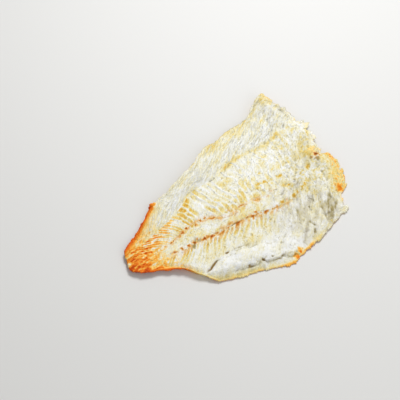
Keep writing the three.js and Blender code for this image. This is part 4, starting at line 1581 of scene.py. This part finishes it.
def ring_walls(count, rings, sides):
    """Four-cornered faces between the rings of many tubes, and each tube's first and last ring as ends."""
    tube = np.arange(count)[:, None] * rings
    first = (tube + np.arange(rings - 1)).reshape(-1, 1) * sides
    here = np.arange(sides)
    after = (here + 1) % sides
    walls = np.stack([first + here, first + here + sides, first + after + sides, first + after], -1)
    starts, ends = tube * sides + here, (tube + rings - 1) * sides + here[::-1]
    return walls.reshape(-1, 4), np.concatenate([starts, ends])


def dress(piece, u, across, repeats, changes):
    """Gives a piece the flesh's fields where it lies, some changed by a function, and the material."""
    for field, grid in FLESH_FIELDS.items():
        change = changes.get(field, np.asarray)
        store(piece, field, np.repeat(change(read_grid(grid, u, across)).ravel(), repeats))
    grain = [read_grid(axis, u, across).ravel() for axis in np.moveaxis(TOP_GRAIN, -1, 0)]
    store_grain(piece, np.repeat(np.stack(grain, -1), repeats, axis=0))
    piece.data.materials.append(flesh)
    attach(piece, "root")


# %% Tubes for fibres
FIBRE_SIDES, FIBRE_FLATNESS, FIBRE_BROWNS = 3, 0.8, 0.85
SUNK_ENDS, THINNEST_END, END_TAPER = 0.22, 0.08, 0.6
TINY = 1e-9


def unit(vectors):
    """Vectors of the same directions, one long."""
    return vectors / (np.linalg.norm(vectors, axis=-1, keepdims=True) + TINY)


def fibre_tubes(name, path, half_width, lift, whiter):
    """Three-sided tubes around paths: thin at both ends, sunk there, and lifted by a half wave in between."""
    along, left, u, across = path
    count, rings = along.shape
    rise = np.sin(np.pi * np.linspace(0, 1, rings))
    height = read_grid(SETTLED_HEIGHT, u, across) - SUNK_ENDS * (1 - rise) + lift[:, None] * rise
    centre = np.stack([along - middle[0], left - middle[1], height], -1)
    ahead = unit(np.gradient(centre, axis=1))
    side = unit(np.stack([-ahead[..., 1], ahead[..., 0], np.zeros_like(height)], -1))
    up = np.cross(ahead, side)
    around = np.pi / 2 + 2 * np.pi * np.arange(FIBRE_SIDES) / FIBRE_SIDES
    radius = half_width[:, None] * np.clip(rise, THINNEST_END, 1) ** END_TAPER
    ring = np.cos(around)[:, None] * side[:, :, None]
    ring = ring + FIBRE_FLATNESS * np.sin(around)[:, None] * up[:, :, None]
    points = (centre[:, :, None] + radius[..., None, None] * ring).reshape(-1, 3)
    walls, ends = ring_walls(count, rings, FIBRE_SIDES)
    piece = mesh_object(name, points, walls[:, ::-1], ends[:, ::-1])
    dress(piece, u, across, FIBRE_SIDES, {
        "yellowing": lambda values: np.clip(values - whiter[:, None], 0, 1),
        "browning": lambda values: FIBRE_BROWNS * values,
    })


# %% Directions of the fibres
turns = count_skins(top)[0]
turns_u, turns_v = np.gradient(turns, ROW_STEP, COLUMN_STEP)
steeper_along = turns_u * LEFT_SLOPES[1] - turns_v * LEFT_SLOPES[0]
steeper_left = turns_v * ALONG_SLOPES[0] - turns_u * ALONG_SLOPES[1]
tell("the count of skins goes", turns)


def along_skins(u, across):
    """The direction in which the count of skins stays the same, so that a thread stays on its skin."""
    return np.arctan2(read_grid(steeper_along, u, across), -read_grid(steeper_left, u, across))


def leaning(lean):
    """Each band's fibre angle with a slow sway over the plan and a steady lean of its own for every fibre."""
    def angle_at(u, across):
        along, left = read_grid(top.along, u, across), read_grid(top.left, u, across)
        sway = 0.35 * noise(along / 18, left / 18, 140) + 0.25 * noise(along / 7, left / 7, 141)
        return read_grid(FIBRE_ANGLE[top.band], u, across) + sway + lean
    return angle_at


# %% Fibres of the lobe, threads of the skins, and short fibres
well_inside = (from_rim(top) > 1.0) * ease(top.share, (0.01, 0.06))
inside_band = (top.in_band > 0.06) & (top.in_band < 0.94)
by_right_seam = (top.band == RIGHT_BAND) & (top_cells.away < 12)
on_skin = (top_cells.skin > 0.8) * inside_band * ((top.band == LEFT_BAND) | by_right_seam)
# a fibre that stops at a corner of the sheet would have faces of no area, so it is left out
STANDS_STILL = 0.001
FIBRE_KINDS = {
    # lean is a spread of angles, whiter a mean and a spread, and the rest least and most in millimetres
    "lobe_fibres": SimpleNamespace(
        count=1200, rings=8, lean=0.12, length=(6, 20), half_width=(0.2, 0.42), lift=(0.0, 0.3),
        whiter=(0.06, 0.1), where=(top.band == LOBE) * well_inside,
    ),
    "skin_threads": SimpleNamespace(
        count=500, rings=7, lean=None, length=(4, 12), half_width=(0.16, 0.3), lift=(0.05, 0.25),
        whiter=(0.2, 0.08), where=on_skin * ease(top.share, (0.1, 0.2)) * ease(top.share, (0.95, 0.6)),
    ),
    "short_fibres": SimpleNamespace(
        count=2600, rings=5, lean=0.5, length=(2.5, 7), half_width=(0.18, 0.36), lift=(0.0, 0.25),
        whiter=(0.03, 0.1), where=np.array([0.25, 0.9, 0.9, 1.0, 0.15])[top.band] * well_inside,
    ),
}
for name, kind in FIBRE_KINDS.items():
    start = seeds(kind.count, kind.where)
    angle_at = leaning(chance.normal(0, kind.lean, kind.count)) if kind.lean else along_skins
    path = walk(*start, angle_at, chance.uniform(*kind.length, kind.count), kind.rings)
    half_width = chance.uniform(*kind.half_width, kind.count)
    lift = chance.uniform(*kind.lift, kind.count)
    whiter = chance.normal(*kind.whiter, kind.count)
    moves = np.hypot(*np.diff(path[:2])).min(-1) > STANDS_STILL
    fibre_tubes(name, path[:, moves], half_width[moves], lift[moves], whiter[moves])

# %% [markdown]
# ## Flakes and crumbs of the rims
#
# The head end broke off, so thin yellow flakes stick out of it, and every rim is rough with crumbs. Each of
# them is a small profile turned about its own axis, like clay on a wheel, then squeezed, tilted and moved
# to the rim. All flakes are one joined mesh, and all crumbs another.

# %% Turned lumps
FLAKE = SimpleNamespace(
    # the profile is radius and height, as shares of the size, from the top down
    profile=np.array([(0.05, 1.0), (0.5, 0.85), (0.85, 0.5), (1.0, 0.0), (0.85, -0.5), (0.05, -0.8)]),
    sides=9, flatness=0.13, sunk=0.5, curl=0.1, least_radius=0.35, yellower=0.1, browned=0.45,
)
CRUMB = SimpleNamespace(
    profile=np.array([(0.35, 0.85), (0.95, 0.3), (0.95, -0.35), (0.35, -0.85)]),
    sides=6, flatness=0.75, sunk=0.25, curl=0.0, least_radius=0.7, yellower=0.0, browned=1.0,
)
TILT = 0.3
ABOVE_TABLE = 0.05


def turn_by(angle, first, second):
    """Two coordinates turned by an angle in their plane."""
    return first * np.cos(angle) - second * np.sin(angle), first * np.sin(angle) + second * np.cos(angle)


def turned_lumps(name, kind, u, across, size):
    """A profile of radius and height turned about an axis, uneven by draws, tilted, set on the surface."""
    count, rings, sides = len(u), len(kind.profile), kind.sides
    size = size[:, None, None]
    profile_radius, profile_height = kind.profile.T[:, None, :, None]
    around = 2 * np.pi * np.arange(sides) / sides
    jagged = chance.uniform(kind.least_radius, 1.2, (count, 1, sides))
    radius = profile_radius * (jagged * chance.uniform(0.9, 1.1, (count, rings, sides))) * size
    x = radius * np.cos(around)
    y = radius * np.sin(around) * chance.uniform(0.6, 1.0, (count, 1, 1))
    z = profile_height * (size * kind.flatness) + kind.curl * (x * x - y * y) / size
    turn = chance.uniform(0, 2 * np.pi, (count, 1, 1))
    x, z = turn_by(chance.normal(0, TILT, (count, 1, 1)), x, z)
    x, y = turn_by(turn, x, y)
    centre = [read_grid(grid, u, across)[:, None, None] for grid in (top.along, top.left, SETTLED_HEIGHT)]
    above = np.maximum(z + centre[2] - kind.sunk, ABOVE_TABLE)
    points = np.stack([x + centre[0] - middle[0], y + centre[1] - middle[1], above], -1).reshape(-1, 3)
    piece = mesh_object(name, points, *ring_walls(count, rings, sides))
    # flakes and crumbs get none of the painted shade of hollows, folds and cracks
    changes = dict.fromkeys(("hollow_shade", "shade", "cracks"), np.zeros_like)
    changes["yellowing"] = lambda values: values + kind.yellower
    changes["browning"] = lambda values: kind.browned * values
    dress(piece, u, across, rings * sides, changes)


# %% Flakes of the head end
LARGE_FLAKES = np.array([
    # share of the way across, and size in millimetres
    (0.695, 4.6), (0.72, 3.2), (0.64, 3.4), (0.61, 2.6), (0.985, 2.6), (0.32, 3.0),
])
SMALL_FLAKES = 40
flake_across = np.concatenate([LARGE_FLAKES[:, 0], chance.uniform(0.3, 0.98, SMALL_FLAKES)])
flake_size = np.concatenate([LARGE_FLAKES[:, 1], chance.uniform(1.0, 2.6, SMALL_FLAKES)])
flake_u = np.concatenate([np.ones(len(LARGE_FLAKES)), chance.uniform(0.975, 1.0, SMALL_FLAKES)])
turned_lumps("head_flakes", FLAKE, flake_u, flake_across, flake_size)

# %% Crumbs of the rims
CRUMBS, ON_HEAD_SHARE, ON_LEFT_SHARE = 520, 0.3, 0.5
CRUMB_SIZES, CRUMBS_REACH_IN = (0.35, 0.95), 0.012
NUB_LUMPS = np.array([
    # share of the way along, and size in millimetres
    (0.227, 3.0), (0.214, 2.0), (0.239, 1.9),
])
on_head = chance.random(CRUMBS) < ON_HEAD_SHARE
on_left = chance.random(CRUMBS) < ON_LEFT_SHARE
along_rim, from_the_rim = chance.random(CRUMBS), chance.uniform(0, CRUMBS_REACH_IN, CRUMBS)
crumb_u = np.where(on_head, 1 - from_the_rim, along_rim)
crumb_across = np.where(on_head, along_rim, np.where(on_left, 1 - from_the_rim, from_the_rim))
crumb_size = chance.uniform(*CRUMB_SIZES, CRUMBS)
turned_lumps(
    "rim_crumbs", CRUMB,
    np.concatenate([crumb_u, NUB_LUMPS[:, 0]]),
    np.concatenate([crumb_across, np.ones(len(NUB_LUMPS))]),
    np.concatenate([crumb_size, NUB_LUMPS[:, 1]]),
)

# %% [markdown]
# ## Floor, light and camera
#
# Roasted fish shows its relief under one large soft light from above and behind, with a pale floor and an
# even surround filling the shade. The camera looks down on the fillet, with the tail at the lower left.

# %% Floor
FLOOR_SIZE, FLOOR_COLOUR, FLOOR_ROUGHNESS = 20.0, (0.72, 0.72, 0.71, 1.0), 0.7
floor_mesh = bpy.data.meshes.new("floor")
floor_corners = [(x * FLOOR_SIZE / 2, y * FLOOR_SIZE / 2, 0) for x, y in ((-1, -1), (1, -1), (1, 1), (-1, 1))]
floor_mesh.from_pydata(floor_corners, [], [(0, 1, 2, 3)])
floor = bpy.data.objects.new("floor", floor_mesh)
bpy.context.scene.collection.objects.link(floor)
floor_nodes = Nodes("pale floor")
floor_nodes.shader.inputs["Base Color"].default_value = FLOOR_COLOUR
floor_nodes.shader.inputs["Roughness"].default_value = FLOOR_ROUGHNESS
floor_mesh.materials.append(floor_nodes.material)
print("the floor is", FLOOR_SIZE, "m wide")

# %% Camera
LENS, SENSOR = 85.0, 36.0
ELEVATION, TURN = math.radians(57.0), math.radians(-34.57)
DISTANCE = 0.784
AIM_ALONG, AIM_LEFT, AIM_HEIGHT = 82.2, 17.1, 4.0
AIM = Vector((AIM_ALONG - middle[0], AIM_LEFT - middle[1], AIM_HEIGHT)) * MM


def towards(turn, elevation):
    """The direction at an angle round from +X and an angle up from the floor."""
    level = math.cos(elevation)
    return Vector((math.cos(turn) * level, math.sin(turn) * level, math.sin(elevation)))


back = towards(TURN - math.pi / 2, ELEVATION)
camera = bpy.data.objects.new("camera", bpy.data.cameras.new("camera"))
camera.data.lens = LENS
camera.data.sensor_width = SENSOR
camera.location = AIM + back * DISTANCE
camera.rotation_mode = "QUATERNION"
camera.rotation_quaternion = (-back).to_track_quat("-Z", "Y")
bpy.context.scene.collection.objects.link(camera)
bpy.context.scene.camera = camera
print("camera at", [round(value, 3) for value in camera.location])

# %% Lights
SURROUND_COLOUR, SURROUND_STRENGTH = (1.0, 0.99, 0.965, 1.0), 0.38


def soft_light(name, turn, elevation, distance, size, power):
    """A square lamp that faces the fillet, at angles in degrees from the camera's right and from level."""
    away = towards(TURN + math.radians(turn), math.radians(elevation))
    lamp = bpy.data.lights.new(name, "AREA")
    lamp.shape = "SQUARE"
    lamp.size = size
    lamp.energy = power
    made = bpy.data.objects.new(name, lamp)
    made.location = AIM + away * distance
    made.rotation_mode = "QUATERNION"
    made.rotation_quaternion = away.to_track_quat("Z", "Y")
    bpy.context.scene.collection.objects.link(made)
    print(name, "light of", power, "W at", distance, "m")


soft_light("key", turn=75, elevation=55, distance=0.9, size=0.3, power=6.0)
soft_light("fill", turn=-50, elevation=35, distance=1.0, size=0.8, power=2.2)

world = bpy.data.worlds.new("studio")
world.use_nodes = True
surround = world.node_tree.nodes["Background"]
surround.inputs["Color"].default_value = SURROUND_COLOUR
surround.inputs["Strength"].default_value = SURROUND_STRENGTH
bpy.context.scene.world = world
bpy.context.scene.view_settings.view_transform = "Standard"
